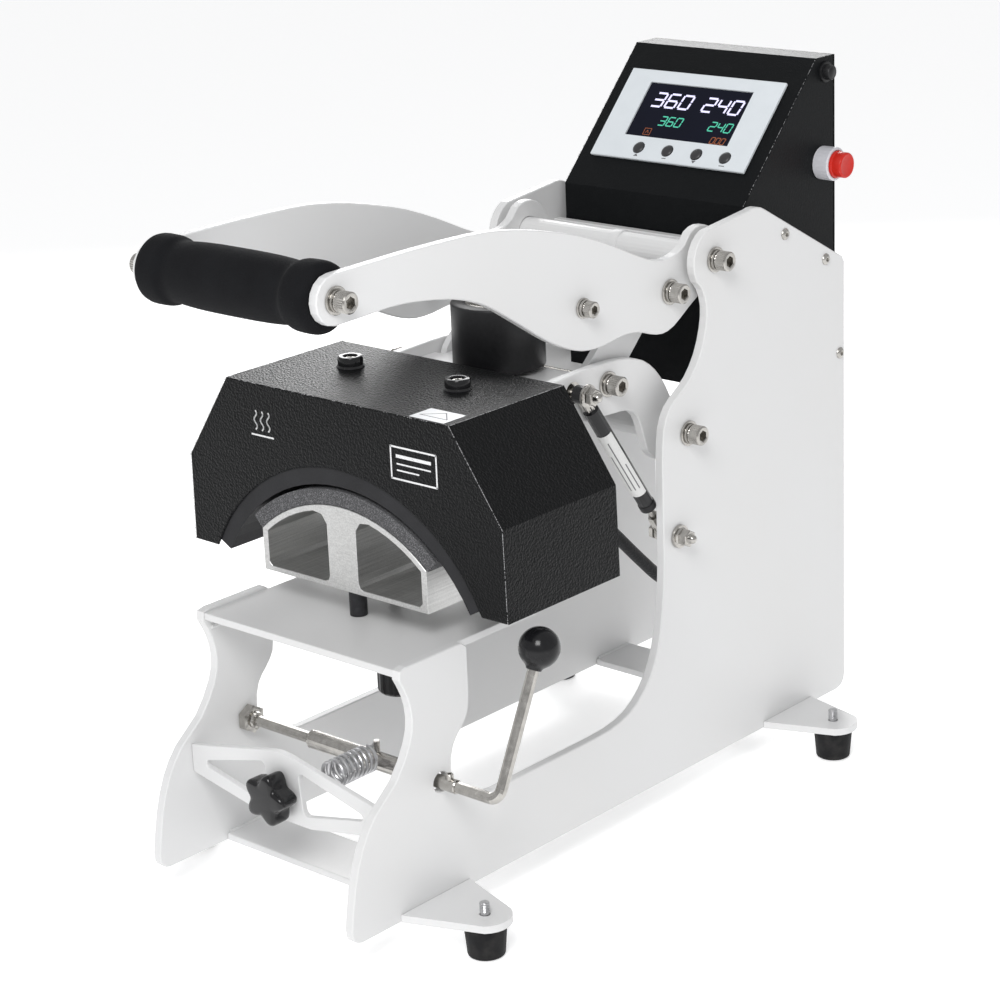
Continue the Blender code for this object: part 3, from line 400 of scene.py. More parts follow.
def screw_head(face, radius, socket, washer):
    """One end of a bolt outwards from the plate's face: washers, knurled head and hexagon socket."""
    top = face + radius * 1.98
    neck = face + 5.2
    return [(0.0, top - radius * 0.9), (socket, top - radius * 0.9, "hex"), (socket, top - 0.5, "hex"),
            (socket + 1.3, top), (radius - 1.0, top), (radius, top - 1.0), (radius, top - 1.4, "rib"),
            (radius, neck + 1.0, "rib"), (radius, neck + 0.6), (radius - 0.5, neck), (radius - 1.6, neck),
            (radius - 1.6, neck - 0.2), (radius + 0.6, neck - 0.2), (radius + 0.6, neck - 2.5),
            (radius - 1.6, neck - 2.7), (washer - 0.4, neck - 2.9), (washer, neck - 3.2),
            (washer, face + 0.5), (washer - 0.4, face + 0.25)]


def pivot_bolt(node, y, z, face, body, shank=5.0, radius=8.0, socket=4.1, washer=10.4):
    """A bolt through both plates, M10 unless its sizes are given, with a head at each end."""
    head = screw_head(face, radius, socket, washer)
    other = [(r, -h, *cut) for r, h, *cut in reversed(head)]
    bolt = lathe(f"{node}_bolt", at(0.0, y, z), (1, 0, 0),
                 head + [(shank, face + 0.25), (shank, -face - 0.25)] + other, nickel, body, 60, 28.0)
    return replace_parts(bolt, node)


pivot_bolt("upper_pivot_shaft", -182.0, 449.0, 110.0, "frame")
pivot_bolt("lower_pivot_shaft", -221.0, 313.0, 110.0, "frame")

# Lower arms: two coated steel plates on a tube that turns on the lower shaft. They reach forward into
# the hood and carry the heater.
dress(powder, "lower_arm_left", "lower_arm_right", "lower_pivot_tube", "cross_channel")
pivot_bolt("toggle_pin_lower", -292.2, 367.5, 86.0, "lower_arm")

# Handle arms: two curved plates on the upper tube, joined by the grip, a tie rod and the toggle pin.
# The tube has a shoulder ring where its two halves meet.
dress(powder, "handle_arm_left", "handle_arm_right", "upper_pivot_tube")
pivot_bolt("toggle_pin_upper", -223.5, 429.2, 96.0, "handle")
pivot_bolt("tie_rod", -331.5, 439.2, 96.0, "handle", 3.6, 6.5, 3.2, 8.0)
pivot_bolt("grip_rod", -596.0, 502.0, 96.0, "handle")
lathe("tube_shoulder", at(12.0, -182.0, 449.0), (1, 0, 0),
      [(12.0, 5.0), (13.0, 4.4), (13.2, 3.6), (13.2, -3.6), (13.0, -4.4), (12.0, -5.0)], powder, "handle", 40)

# Toggle links: two flat bars between the handle and the lower arms. They pass dead centre when the
# press is shut.
dress(powder, "toggle_link_left", "toggle_link_right")

# Foam grip: a moulded foam rubber sleeve with flared ends and a slight belly. Its skin is dull, finely
# pored and a little uneven.
foam = Paint("foam_skin", specular_ior_level=0.08, sheen_weight=0.02, sheen_roughness=0.5)
pores = foam.cells(900.0)
foam_patch = foam.grain(45.0, 4.0)
foam.tint(foam_patch, (0.005, 0.005, 0.006), (0.012, 0.0125, 0.014))
foam.set(roughness=0.78 + foam_patch * 0.15).relief(pores * 0.7 + foam.grain(2200.0) * 0.5, 0.30)
half_grip = [(20.0, 87.6), (22.2, 87.4), (24.2, 86.6), (25.5, 84.9), (26.2, 82.2), (26.4, 78.6), (26.3, 73.0),
             (26.1, 68.6), (25.6, 66.2), (24.8, 64.4), (23.9, 62.8), (23.2, 60.8), (23.0, 58.0), (23.2, 54.8),
             (23.7, 50.0), (24.1, 44.0), (24.5, 36.0), (24.8, 24.0), (24.9, 10.0)]
grip = lathe("grip_sleeve", at(0.0, -596.0, 502.0), (1, 0, 0),
             [(5.4, 87.4)] + half_grip + [(r, -h) for r, h in reversed(half_grip)] + [(5.4, -87.4)],
             foam, "handle", 64, 60.0)
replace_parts(grip, "foam_grip")

# Hood: a folded sheet steel cover over the heater, in a heavy black wrinkle paint whose ridges catch
# the light. The front is cut to the arch.
wrinkle = Paint("black_wrinkle_paint", specular_ior_level=0.12)
ridges = wrinkle.cells(620.0, feature="SMOOTH_F1")
veins = wrinkle.grain(480.0, 3.0)
wrinkle.tint(veins, (0.0025, 0.0027, 0.003), (0.009, 0.0095, 0.010))
wrinkle.set(roughness=0.26 + veins * 0.14).relief(ridges * 0.8 + veins * 1.1, 0.80)
dress(wrinkle, "hood")

# Fold specks: small bright metal specks along the folds of the wrinkle paint, partly paint worn through
# to metal and partly a painted highlight where the folds catch the light.
wear_and_highlight_metal = Paint("bare_steel_and_highlight_specks", metallic=0.4)
speck_tone = wear_and_highlight_metal.grain(900.0, 2.0)
wear_and_highlight_metal.tint(speck_tone, (0.20, 0.20, 0.21), (0.55, 0.55, 0.56))
wear_and_highlight_metal.set(roughness=0.4 + speck_tone * 0.2)


def fold_specks(name, edges, spacing, body, seed):
    """Bright metal specks scattered along folds, each a small flattened stone shape: partly worn paint,
    partly a painted edge highlight.
    """
    dice = random.Random(seed)
    work = bmesh.new()
    for start, end in edges:
        along = (end - start).normalized()
        for _ in range(int((end - start).length * 1000 / spacing)):
            spot = start.lerp(end, dice.random())
            long, wide = dice.uniform(0.2, 0.9) / 1000, dice.uniform(0.12, 0.40) / 1000
            side = Vector([dice.uniform(-1, 1) for _ in range(3)]).cross(along).normalized()
            third = along.cross(side)
            ends = [work.verts.new(spot + along * long * sign) for sign in (-1, 1)]
            girdle = [work.verts.new(spot + (side * math.cos(a) + third * math.sin(a)) * wide)
                      for a in (0.0, 1.57, 3.14, 4.71)]
            for step in range(4):
                work.faces.new((ends[1], girdle[step], girdle[(step + 1) % 4]))
                work.faces.new((ends[0], girdle[(step + 1) % 4], girdle[step]))
    return form(name, work, wear_and_highlight_metal, body)


hood_low, hood_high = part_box("hood")
hood_front = (hood_low.y - plate_high.y) * 1000
hood_back = (hood_high.y - plate_high.y) * 1000
folds = []
for sign in (-1.0, 1.0):
    crest, waist, foot_corner = (sign * 118.0, 393.0), (sign * 166.4, 322.5), (sign * 168.0, 250.0)
    folds += [(at(crest[0], hood_front, crest[1]), at(waist[0], hood_front, waist[1])),
              (at(waist[0], hood_front, waist[1]), at(foot_corner[0], hood_front, foot_corner[1])),
              (at(crest[0], hood_front, crest[1]), at(crest[0], hood_back, crest[1]))]
fold_specks("hood_edge_specks", folds, 0.5, "upper_platen", 5)
top_edge = [(at(-118.0, hood_front, 393.0), at(118.0, hood_front, 393.0))]
fold_specks("hood_top_specks", top_edge, 3.5, "upper_platen", 8)

# Heater platen and its carrier: an arched aluminium casting with the element inside, coated dark, and
# the bracket that hangs it from the pressure screw.
casting = Paint("dark_coated_casting", specular_ior_level=0.2)
cast_grain = casting.grain(700.0, 3.0)
casting.tint(casting.grain(30.0, 4.0), (0.012, 0.012, 0.013), (0.032, 0.032, 0.035))
casting.set(roughness=0.5 + cast_grain * 0.2).relief(cast_grain, 0.12)
dress(casting, "heater_platen", "heater_carrier")

# Hood fixings: two deep round caps in glossy black plastic over the screws that hold the hood to the
# heater.
gloss = Paint("glossy_black_caps", specular_ior_level=0.4)
gloss_tone = gloss.grain(240.0, 2.0)
gloss.tint(gloss_tone, (0.006, 0.006, 0.007), (0.014, 0.014, 0.015))
gloss.set(roughness=0.10 + gloss_tone * 0.1)
for sign, side in ((-1.0, "left"), (1.0, "right")):
    lathe(f"hood_cap_{side}", at(sign * 57.0, -434.0, 392.6), (0, 0, 1),
          [(0.0, 2.0), (5.6, 2.0), (5.6, 8.4), (6.2, 9.2), (8.6, 9.4), (9.6, 9.0), (10.1, 8.0), (10.1, 2.4),
           (10.8, 1.6), (11.4, 0.8), (11.4, 0.0), (0.0, 0.0)], gloss, "upper_platen", 48)
    lathe(f"hood_screw_{side}", at(sign * 57.0, -434.0, 392.6), (0, 0, 1),
          [(0.0, 4.0), (2.0, 4.0, "hex"), (2.0, 7.2, "hex"), (2.8, 7.6), (4.4, 7.6), (4.9, 7.0), (4.9, 1.8),
           (0.0, 1.8)], nickel, "upper_platen", 36)

# Hood marks: a plain pale foil label at the corner of the top, a heat sign of three waves and a blank
# outlined badge on the front. None carries words.
print_white = Paint("white_screen_print", roughness=0.45)
print_wear = print_white.ramp(print_white.grain(1300.0, 3.0), 0.30, 0.42)
print_white.tint(print_wear, (0.25, 0.25, 0.26), (0.78, 0.78, 0.79))
foil = Paint("pale_foil", metallic=0.2)
foil_tone = foil.grain(120.0, 2.0)
foil.tint(foil_tone, (0.62, 0.63, 0.65), (0.80, 0.81, 0.82))
foil.set(roughness=0.3 + foil_tone * 0.2)


def decal(name, outlines, place, thick, paint, body):
    """Flat shapes of thin film: each outline is laid by place(u, v, height)."""
    work = bmesh.new()
    for outline in outlines:
        low = [work.verts.new(place(u, v, 0.0)) for u, v in outline]
        high = [work.verts.new(place(u, v, thick)) for u, v in outline]
        work.faces.new(high)
        work.faces.new(low[::-1])
        for step in range(len(outline)):
            back = (step + 1) % len(outline)
            work.faces.new((low[step], low[back], high[back], high[step]))
    bmesh.ops.recalc_face_normals(work, faces=work.faces)
    return form(name, work, paint, body)


def strokes(path, width):
    """A line of this width through the points, as short four-sided outlines."""
    outlines = []
    for (u0, v0), (u1, v1) in zip(path, path[1:]):
        along = Vector((u1 - u0, v1 - v0)).normalized()
        off = Vector((-along.y, along.x)) * width / 2
        out = along * width * 0.3
        outlines.append([(u0 + off.x - out.x, v0 + off.y - out.y), (u0 - off.x - out.x, v0 - off.y - out.y),
                         (u1 - off.x + out.x, v1 - off.y + out.y), (u1 + off.x + out.x, v1 + off.y + out.y)])
    return outlines


def on_hood_top(u, v, lift):
    return at(u, v, 393.1 + lift)


def on_hood_front(u, v, lift):
    return at(u, -511.1 - lift, v)


decal("hood_label", [[(76.0, -508.5), (111.0, -508.5), (111.0, -484.0), (76.0, -484.0)]],
      on_hood_top, 0.12, foil, "upper_platen")
label_ink = Paint("label_ink", roughness=0.5)
label_ink.tint(label_ink.grain(900.0), (0.09, 0.09, 0.10), (0.16, 0.16, 0.17))
decal("hood_label_lines", strokes([(80.0, -500.5), (95.0, -488.0), (107.0, -500.5), (80.0, -500.5)], 0.9),
      lambda u, v, lift: on_hood_top(u, v, lift + 0.14), 0.05, label_ink, "upper_platen")
waves = []
for shift in (-7.0, 0.0, 7.0):
    wave = [(-80.0 + shift + 1.6 * math.sin(step * 0.9), 356.0 + step * 1.5) for step in range(11)]
    waves += strokes(wave, 1.3)
waves += strokes([(-92.0, 351.5), (-68.0, 351.5)], 1.4)
decal("heat_sign", waves, on_hood_front, 0.08, print_white, "upper_platen")
badge_edge = [(58.0, 343.0), (104.0, 343.0), (104.0, 368.0), (58.0, 368.0), (58.0, 343.0)]
decal("blank_badge", strokes(badge_edge, 1.4)
      + strokes([(64.0, 361.0), (98.0, 361.0)], 2.6) + strokes([(64.0, 355.0), (98.0, 355.0)], 1.2)
      + strokes([(64.0, 350.0), (86.0, 350.0)], 1.2), on_hood_front, 0.08, print_white, "upper_platen")

# Pressure knob: a tall black plastic drum that screws down on the spindle, with a bright disc let into
# its top.
drum = Paint("satin_black_drum", specular_ior_level=0.4)
drum_tone = drum.grain(320.0, 2.0)
drum.tint(drum_tone, (0.008, 0.008, 0.009), (0.018, 0.018, 0.020))
drum.set(roughness=0.36 + drum_tone * 0.1).relief(drum_tone, 0.04)
knob = lathe("knob_drum", at(0.0, -323.0, 0.0), (0, 0, 1),
             [(26.0, 429.6), (26.0, 431.0), (36.0, 431.0), (36.9, 430.6), (37.4, 430.0), (37.5, 429.0),
              (37.5, 379.0), (37.2, 378.3), (36.4, 378.0), (14.0, 378.0), (14.0, 375.0), (8.5, 375.0),
              (8.5, 429.6)], drum, "pressure_knob", 72)
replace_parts(knob, "pressure_knob")
lathe("knob_disc", at(0.0, -323.0, 0.0), (0, 0, 1),
      [(9.0, 430.6), (24.6, 430.6), (25.6, 430.2), (25.6, 429.7), (9.0, 429.7)], nickel, "pressure_knob", 64)

# Gas springs: a black painted cylinder with a blank paper label half round it, a chromed rod and zinc
# ball studs with domed nuts, one on each side.
cylinder_paint = Paint("cylinder_paint", specular_ior_level=0.35)
cylinder_tone = cylinder_paint.grain(150.0, 2.0)
cylinder_paint.tint(cylinder_tone, (0.006, 0.006, 0.007), (0.014, 0.014, 0.015))
cylinder_paint.set(roughness=0.2 + cylinder_tone * 0.1)
paper = Paint("paper_label")
paper_tone = paper.grain(600.0, 3.0)
paper.tint(paper_tone, (0.62, 0.62, 0.61), (0.74, 0.74, 0.73))
paper.set(roughness=0.5 + paper_tone * 0.2)
for sign, side in ((-1.0, "left"), (1.0, "right")):
    dress(cylinder_paint, f"gas_cylinder_{side}")
    dress(nickel, f"gas_rod_{side}")
    x = sign * 94.6
    lower, upper = at(x, -236.0, 229.0), at(x, -334.0, 370.0)
    along = (upper - lower).normalized()
    across = Vector((1.0, 0.0, 0.0))
    front = across.cross(along)
    sheet_rows = [(54.0, 128.0, -64.0, 64.0)]
    line_rows = [(62.0, 104.0, 28.0, 36.0), (62.0, 120.0, -4.0, 4.0), (62.0, 92.0, -36.0, -28.0)]
    for name, radius, rows, paint in (("label", 6.85, sheet_rows, paper),
                                      ("label_lines", 6.90, line_rows, label_ink)):
        film = bmesh.new()
        for start, end, turn_low, turn_high in rows:
            strip = []
            for step in range(13):
                round_it = math.radians(-sign * 38.0 + turn_low + (turn_high - turn_low) * step / 12)
                out = (front * math.cos(round_it) - across * math.sin(round_it)) * radius / 1000
                strip.append([film.verts.new(lower + out + along * h / 1000) for h in (start, end)])
            for near, far in zip(strip, strip[1:]):
                film.faces.new((near[0], near[1], far[1], far[0]))
        form(f"gas_{name}_{side}", film, paint, f"gas_cylinder_{side}")
    lathe(f"gas_collar_{side}", lower, along,
          [(3.4, 39.6), (6.9, 39.6), (7.15, 39.0), (7.15, 33.4), (6.4, 32.6), (3.4, 32.6)], moulded,
          f"gas_cylinder_{side}", 32)
    lathe(f"gas_rod_fitting_{side}", lower, along,
          [(3.3, 22.0), (4.6, 22.0, "hex"), (4.9, 21.0, "hex"), (4.9, 8.0, "hex"), (4.4, 7.0), (3.3, 7.0)],
          nickel, f"gas_rod_{side}", 36)
    lathe(f"gas_head_fitting_{side}", lower, along,
          [(3.3, 166.0), (4.6, 166.0, "hex"), (4.9, 165.0, "hex"), (4.9, 156.0, "hex"), (4.4, 155.0),
           (3.3, 155.0)],
          nickel, f"gas_cylinder_{side}", 36)
    dome = [(0.0, 0.0), (1.6, -0.3), (2.9, -1.2), (3.7, -2.6), (4.0, -4.4)]
    head_stud = [(r, 114.6 + h) for r, h in dome] + [(4.4, 109.2), (5.6, 109.0, "hex"), (6.3, 108.2, "hex"),
                 (6.3, 103.0, "hex"), (7.6, 102.4), (9.2, 102.2), (9.4, 101.6), (9.4, 100.5), (3.9, 100.3),
                 (3.9, 86.3), (9.0, 86.2), (9.0, 85.9), (0.0, 85.9)]
    lathe(f"gas_top_stud_{side}", at(0.0, -334.0, 370.0), (sign, 0, 0), head_stud, nickel, "lower_arm",
          36, 28.0)
    foot_stud = [(r, 128.0 + h) for r, h in dome] + [(4.4, 122.6), (5.6, 122.4, "hex"), (6.3, 121.6, "hex"),
                 (6.3, 114.6, "hex"), (7.8, 113.4), (9.6, 113.2), (9.8, 112.6), (9.8, 110.4), (3.9, 110.3),
                 (3.9, 88.0), (6.2, 87.8, "hex"), (6.2, 84.0, "hex"), (0.0, 83.6)]
    lathe(f"gas_foot_stud_{side}", at(0.0, -236.0, 229.0), (sign, 0, 0), foot_stud, nickel, "frame", 36, 28.0)

# Clamp shaft: a plated rod with a sleeve and stop nuts welded on, bent up outside the right plate into
# a lever with a ball knob.
dress(nickel, "clamp_shaft")
ball_paint = Paint("phenolic_ball", specular_ior_level=0.3)
ball_tone = ball_paint.grain(220.0, 2.0)
ball_paint.tint(ball_tone, (0.006, 0.006, 0.007), (0.012, 0.012, 0.013))
ball_paint.set(roughness=0.12 + ball_tone * 0.1)
ball_seat = at(168.0, -477.4, 222.0)
lever_foot = at(168.0, -529.0, 116.6)
lever_way = (ball_seat - lever_foot).normalized()
ball = lathe("lever_ball", ball_seat, lever_way,
             [(0.0, 16.0)] + [(16.0 * math.cos(math.radians(a)), 16.0 * math.sin(math.radians(a)))
                              for a in range(82, -58, -8)]
             + [(7.4, -14.4), (6.4, -15.6), (6.0, -17.0), (5.4, -17.4), (4.8, -17.4), (4.8, -14.0),
                (0.0, -14.0)],
             ball_paint, "clamp_lever", 48, 40.0)
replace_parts(ball, "ball_knob")
lathe("shaft_stop_nut", at(-97.5, -529.0, 116.6), (1, 0, 0),
      [(4.7, 4.5), (8.6, 4.5), (10.2, 3.4, "hex"), (10.2, -3.4, "hex"), (8.6, -4.5), (4.7, -4.5)], nickel,
      "clamp_lever", 36, 28.0)
lathe("shaft_set_screw", at(119.0, -529.0, 120.6), (0, 0, 1),
      [(0.0, 3.4), (1.4, 3.4, "hex"), (1.4, 5.0, "hex"), (2.6, 5.2), (3.1, 4.6), (3.1, -1.0), (0.0, -1.0)],
      nickel, "clamp_lever", 24)
for name, x, reach in (("nut", -91.0, 6.4), ("sleeve", -27.0, 6.8)):
    bead = []
    widths = []
    for step in range(29):
        angle = math.tau * step / 28
        wobble = reach - 1.2 + 0.25 * math.sin(step * 2.3)
        bead.append(at(x + 0.3 * math.sin(step * 1.7), -529.0 + wobble * math.cos(angle),
                       116.6 + wobble * math.sin(angle)))
        widths.append(0.9 + 0.2 * math.sin(step * 2.9))
    wire(f"shaft_{name}_weld", bead, 2.1, nickel, "clamp_lever", 1, widths)

# Tension spring: close-wound zinc plated wire. Its front hook goes through the bracket and its rear
# hook round a peg on the clamp shaft.
turns, per_turn = 8, 26
coil = []
for step in range(turns * per_turn + 1):
    angle = math.tau * step / per_turn + math.pi / 2
    coil.append(at(46.0 + 10.0 * math.cos(angle), -581.5 + step / (turns * per_turn) * 40.0,
                   124.0 + 10.0 * math.sin(angle)))
front_hook = [at(46.0, y, z) for y, z in ((-583.4, 118.0), (-583.6, 124.0), (-583.2, 130.0), (-582.4, 133.4))]
rear_hook = [at(45.8, -540.8, 132.6), at(44.6, -537.5, 130.2), at(43.5, -533.0, 130.6),
             at(40.6, -529.0, 130.8), at(43.5, -525.6, 131.0)]
spring = wire("clamp_spring_wire", front_hook + coil + rear_hook, 1.4, zinc, "frame", 3)
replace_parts(spring, "clamp_spring")

# Star knob: a five-lobed knob in glossy moulded plastic, on a screw through the bracket. It sets the
# spring.
star_paint = Paint("glossy_moulding", specular_ior_level=0.45)
star_tone = star_paint.grain(160.0, 3.0)
star_paint.tint(star_tone, (0.003, 0.003, 0.0035), (0.009, 0.009, 0.010))
star_paint.set(roughness=0.10 + star_tone * 0.14)
star = bmesh.new()
layers = []
for depth, inset in ((-612.0, 5.0), (-611.7, 2.8), (-610.9, 1.1), (-609.4, 0.2), (-607.6, 0.0), (-597.0, 0.2),
                     (-594.4, 0.9), (-593.5, 2.4)):
    ring = []
    for step in range(90):
        angle = math.tau * step / 90
        reach = 18.0 + 3.2 * math.cos(5 * (angle - math.radians(14.0))) - inset
        ring.append(star.verts.new(at(reach * math.sin(angle), depth, 101.0 + reach * math.cos(angle))))
    layers.append(ring)
star.faces.new(layers[0])
star.faces.new(layers[-1])
for upper_ring, lower_ring in zip(layers, layers[1:]):
    for step in range(90):
        after = (step + 1) % 90
        star.faces.new((upper_ring[step], upper_ring[after], lower_ring[after], lower_ring[step]))
bmesh.ops.recalc_face_normals(star, faces=star.faces)
star_grip = form("star_grip", star, star_paint, "star_knob", 40.0)
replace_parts(star_grip, "star_knob")
lathe("star_screw", at(0.0, 0.0, 101.0), (0, -1, 0),
      [(0.0, 595.0), (8.0, 595.0), (8.0, 590.6), (5.0, 590.4), *thread(5.0, 585.0, 579.0),
       (4.4, 578.0), (0.0, 578.0)], nickel, "star_knob", 36)

# Control box: a folded steel shell with a sloped face, in the same wrinkle paint but finer, screwed
# between the side plates.
satin = Paint("black_fine_texture", specular_ior_level=0.08)
fine = satin.grain(900.0, 3.0)
satin.tint(fine, (0.003, 0.0035, 0.004), (0.010, 0.011, 0.012))
satin.set(roughness=0.30 + fine * 0.2).relief(fine, 0.35)
dress(satin, "control_box", "box_back_cover")
# Bright specks along the box folds: partly worn paint, partly a painted edge highlight.
box_folds = []
for sign in (-1.0, 1.0):
    box_folds += [(at(sign * 95.6, -123.8, 479.8), at(sign * 95.6, -21.0, 585.8)),
                  (at(sign * 95.6, -21.0, 585.8), at(sign * 95.6, 3.6, 585.8))]
fold_specks("box_edge_specks", box_folds, 1.6, "frame", 11)
for name, y, z in (("top", -86.0, 451.0), ("middle", -28.0, 418.0), ("low", -7.0, 331.0)):
    for sign, side in ((-1.0, "left"), (1.0, "right")):
        lathe(f"box_screw_{name}_{side}", at(sign * 110.0, y, z), (sign, 0, 0),
              [(0.0, 1.0), (1.5, 1.0, "hex"), (1.5, 2.0, "hex"), (2.4, 2.3), (3.8, 1.8), (4.8, 0.9),
               (5.0, 0.1), (0.0, 0.1)], nickel, "frame", 30)

# Display: a white overlay round a dark window, with segment figures lit behind it, and four round keys
# with plain marks under them.
slope_foot = at(0.0, -124.0, 479.5)
slope_head = at(0.0, -21.0, 586.0)
slope_up = (slope_head - slope_foot).normalized()
slope_out = Vector((1, 0, 0)).cross(slope_up)
slope_middle = (slope_foot + slope_head) / 2 + slope_up * 0.0008


def on_slope(u, v, lift):
    """A place on the sloped face, in millimetres from the middle of the overlay."""
    return slope_middle + Vector((u / 1000, 0, 0)) + slope_up * v / 1000 + slope_out * lift / 1000


overlay = Paint("white_overlay", specular_ior_level=0.3)
overlay_tone = overlay.grain(60.0, 2.0)
overlay.tint(overlay_tone, (0.67, 0.71, 0.74), (0.73, 0.77, 0.80))
overlay.set(roughness=0.3 + overlay_tone * 0.1)
dress(overlay, "display_bezel")
window = Paint("display_window", specular_ior_level=0.12)
window_tone = window.grain(25.0, 2.0)
window.tint(window_tone, (0.003, 0.004, 0.010), (0.006, 0.007, 0.018))
window.set(roughness=0.10 + window_tone * 0.08)
dress(window, "display")
board = Paint("circuit_board")
board_tone = board.grain(300.0, 2.0)
board.tint(board_tone, (0.01, 0.09, 0.03), (0.02, 0.16, 0.06))
board.set(roughness=0.4 + board_tone * 0.1)
dress(board, "controller_board")


def lit(name, colour, strength):
    paint = Paint(name, roughness=0.4)
    glow = paint.grain(400.0, 2.0)
    dim = tuple(c * 0.8 for c in colour)
    paint.set(base_color=(0.01, 0.01, 0.012), emission_color=paint.blend(glow, dim, colour))
    return paint.set(emission_strength=strength)


SEGMENTS = {"0": "abcdef", "2": "abged", "3": "abgcd", "4": "fgbc", "6": "afgedc"}


def figures(text, left, base, tall, pitch, stroke):
    """Leaning seven-segment figures as stroke outlines."""
    wide = pitch * 0.72
    lean = 0.16
    outlines = []
    for index, sign in enumerate(text):
        x0 = left + index * pitch
        half = tall / 2
        gap = stroke * 0.55
        ends = {"a": ((gap, tall), (wide - gap, tall)), "g": ((gap, half), (wide - gap, half)),
                "d": ((gap, 0.0), (wide - gap, 0.0)), "f": ((0.0, tall - gap), (0.0, half + gap)),
                "e": ((0.0, half - gap), (0.0, gap)), "b": ((wide, tall - gap), (wide, half + gap)),
                "c": ((wide, half - gap), (wide, gap))}
        for key in SEGMENTS[sign]:
            (u0, v0), (u1, v1) = ends[key]
            outlines += strokes([(x0 + u0 + lean * v0, base + v0), (x0 + u1 + lean * v1, base + v1)], stroke)
    return outlines


def on_window(u, v, lift):
    return on_slope(u, v, 2.32 + lift)


decal("figures_large",
      figures("360", -44.5, 9.2, 13.6, 14.4, 1.9) + figures("240", 9.6, 9.2, 13.6, 13.9, 1.9),
      on_window, 0.05, lit("lavender_glow", (0.74, 0.72, 1.0), 1.5), "frame")
decal("figures_small", figures("360", -27.4, -8.9, 8.8, 8.4, 1.1) + figures("240", 25.6, -8.9, 8.8, 8.3, 1.1),
      on_window, 0.05, lit("green_glow", (0.10, 0.78, 0.52), 0.9), "frame")
decal("figures_count", figures("000", 33.6, -20.8, 6.0, 5.3, 0.7)
      + strokes([(-38.0, -19.6), (-31.0, -19.6), (-31.0, -13.2), (-38.0, -13.2), (-38.0, -19.6)], 0.5)
      + strokes([(-36.0, -17.8), (-34.5, -15.0), (-33.0, -17.8)], 0.5),
      on_window, 0.05, lit("amber_glow", (0.85, 0.22, 0.05), 0.45), "frame")
key_paint = Paint("grey_black_keys", coat_weight=0.15, coat_roughness=0.2)
key_tone = key_paint.grain(700.0, 2.0)
key_paint.tint(key_tone, (0.018, 0.018, 0.020), (0.035, 0.035, 0.038))
key_paint.set(roughness=0.35 + key_tone * 0.15).relief(key_tone, 0.03)
for index, u in enumerate((-33.9, -3.1, 27.7, 57.7)):
    key = lathe(f"key_cap_{index + 1}", on_slope(u, -33.6, 0.0), slope_out,
                [(0.0, 4.9), (2.6, 4.85), (4.0, 4.6), (4.9, 4.1), (5.3, 3.4), (5.5, 2.4), (5.5, -1.6),
                 (0.0, -1.6)],
                key_paint, f"button_{index + 1}", 40, 45.0)
    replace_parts(key, f"button_{index + 1}")
arrows = [[(-35.6, -42.2), (-31.0, -42.2), (-33.3, -39.6)], [(26.0, -39.9), (30.6, -39.9), (28.3, -42.5)]]
decal("key_marks", arrows
      + strokes([(-5.0, -41.2), (-1.2, -41.2)], 0.8) + strokes([(55.4, -41.6), (60.6, -41.6)], 0.8),
      lambda u, v, lift: on_slope(u, v, 3.42 + lift), 0.03, label_ink, "frame")

# Push-button: a pale plastic collar screwed into the right side of the box, round a red button with a
# shallow dished face.
collar_paint = Paint("pale_grey_collar", coat_weight=0.2, coat_roughness=0.2)
collar_tone = collar_paint.grain(350.0, 2.0)
collar_paint.tint(collar_tone, (0.56, 0.56, 0.60), (0.66, 0.66, 0.69))
collar_paint.set(roughness=0.34 + collar_tone * 0.1)
dress(collar_paint, "stop_collar")
red = Paint("red_button_plastic", specular_ior_level=0.3)
red_tone = red.grain(200.0, 2.0)
red.tint(red_tone, (0.50, 0.016, 0.010), (0.62, 0.026, 0.016))
red.set(roughness=0.25 + red_tone * 0.1)
button = lathe("red_button_cap", at(0.0, -13.0, 497.0), (1, 0, 0),
               [(0.0, 121.2), (6.0, 121.3), (8.4, 121.8), (9.4, 122.0), (10.3, 121.6), (10.8, 120.8),
                (10.8, 113.4), (11.6, 112.6), (11.6, 108.6), (8.6, 108.5), (8.6, 86.0), (0.0, 86.0)],
               red, "stop_button", 48)
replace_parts(button, "stop_button")

# Rear of the box: a screwed cover with an inlet for a mains lead, louvre slots and a fuse holder near
# the top on the right side.
dress(moulded, "power_inlet")
lathe("fuse_holder", at(95.8, -8.0, 573.0), (1, 0, 0),
      [(0.0, 8.0), (3.6, 8.0), (4.2, 7.6), (5.8, 7.6), (6.4, 7.0, "rib"), (6.6, 2.4, "rib"), (8.6, 2.2),
       (8.8, 1.6), (8.8, 0.2), (0.0, 0.2)], moulded, "frame", 40)
for sign in (-1.0, 1.0):
    for z in (330.0, 452.0, 574.0):
        lathe(f"cover_screw_{'left' if sign < 0 else 'right'}_{int(z)}", at(sign * 88.0, 5.9, z), (0, 1, 0),
              [(0.0, 0.8), (1.2, 0.8, "hex"), (1.2, 1.6, "hex"), (2.2, 1.8), (3.3, 1.2), (3.6, 0.1),
               (0.0, 0.1)],
              nickel, "frame", 30)
# The louvre slots are flat near-black films on the cover: painted shade standing in for the openings.
louvres = [[(u - 26.0, v - 1.4), (u + 26.0, v - 1.4), (u + 26.0, v + 1.4), (u - 26.0, v + 1.4)]
           for u in (-34.0, 34.0) for v in range(500, 560, 9)]
painted_slot_shade = Paint("painted_slot_shade", roughness=0.9)
painted_slot_shade.tint(painted_slot_shade.grain(300.0), (0.001, 0.001, 0.001), (0.003, 0.003, 0.003))
decal("cover_louvres", louvres, lambda u, v, lift: at(u, 5.95 + lift, v), 0.05, painted_slot_shade, "frame")
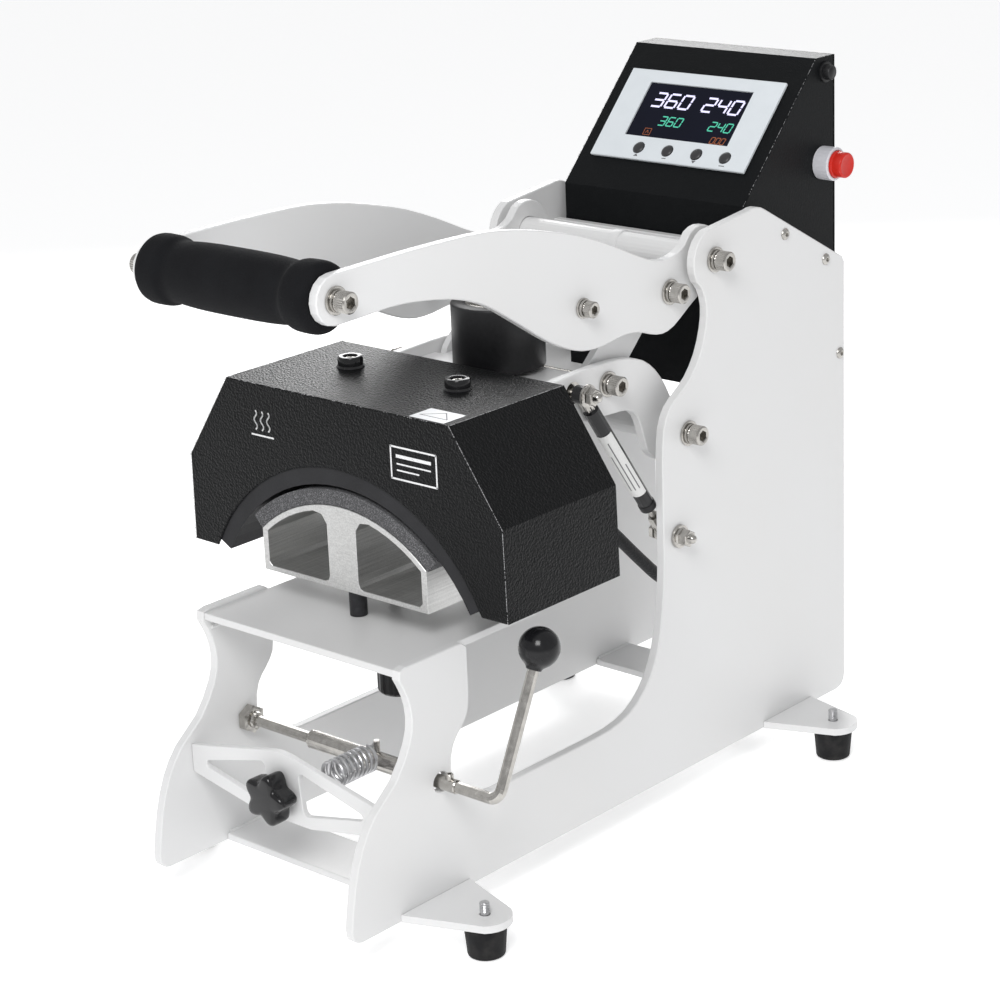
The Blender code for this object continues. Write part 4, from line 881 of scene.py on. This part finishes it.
decal("inlet_pins", [[(u - 1.0, v - 3.2), (u + 1.0, v - 3.2), (u + 1.0, v + 3.2), (u - 1.0, v + 3.2)]
                     for u, v in ((-55.0, 355.5), (-48.0, 358.5), (-41.0, 355.5))],
      lambda u, v, lift: at(u, -9.8 + lift, v), 11.0, nickel, "frame")

# Heater leads: glass-braided wires in a black braided sleeve, from the back of the heater round behind
# the lower arms and up into the box.
braid = Paint("black_braid", specular_ior_level=0.3, sheen_weight=0.2, sheen_roughness=0.4)
strand_one = braid.cells(700.0)
strand_two = braid.grain(1500.0, 2.0)
braid.tint(strand_one, (0.007, 0.007, 0.008), (0.030, 0.030, 0.032))
braid.set(roughness=0.62 + strand_two * 0.2).relief(strand_one + strand_two * 0.5, 0.35)
knots = [(-342.0, 339.0), (-335.0, 324.0), (-316.0, 304.0), (-290.0, 286.0), (-250.0, 256.0), (-210.0, 218.0),
         (-180.0, 189.0), (-150.0, 160.0), (-124.0, 137.0), (-97.0, 122.0), (-73.0, 128.0), (-60.0, 150.0),
         (-54.0, 190.0), (-52.0, 250.0), (-52.0, 330.0)]
line = []
full = [knots[0]] + knots + [knots[-1]]
for index in range(1, len(full) - 2):
    a, b, c, d = (Vector(p) for p in full[index - 1:index + 3])
    for step in range(8):
        t = step / 8
        line.append(0.5 * (2 * b + (c - a) * t + (2 * a - 5 * b + 4 * c - d) * t * t
                           + (3 * b - a - 3 * c + d) * t * t * t))
line.append(Vector(knots[-1]))
sleeve = wire("lead_sleeve", [at(0.0, p.x, p.y) for p in line], 5.6, braid, None, 5)
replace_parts(sleeve, "heater_sleeve")
at(0.0, -215.0, 222.0)
at(0.0, -338.0, 330.0)
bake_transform(sleeve)
lathe("box_gland", at(0.0, -52.0, 319.0), (0, 0, 1),
      [(5.8, 0.0), (12.0, -0.2), (12.0, -4.0, "hex"), (12.0, -9.0, "hex"), (9.4, -10.0), (8.6, -15.0),
       (6.6, -17.0), (5.8, -17.0)], moulded, "frame", 36)
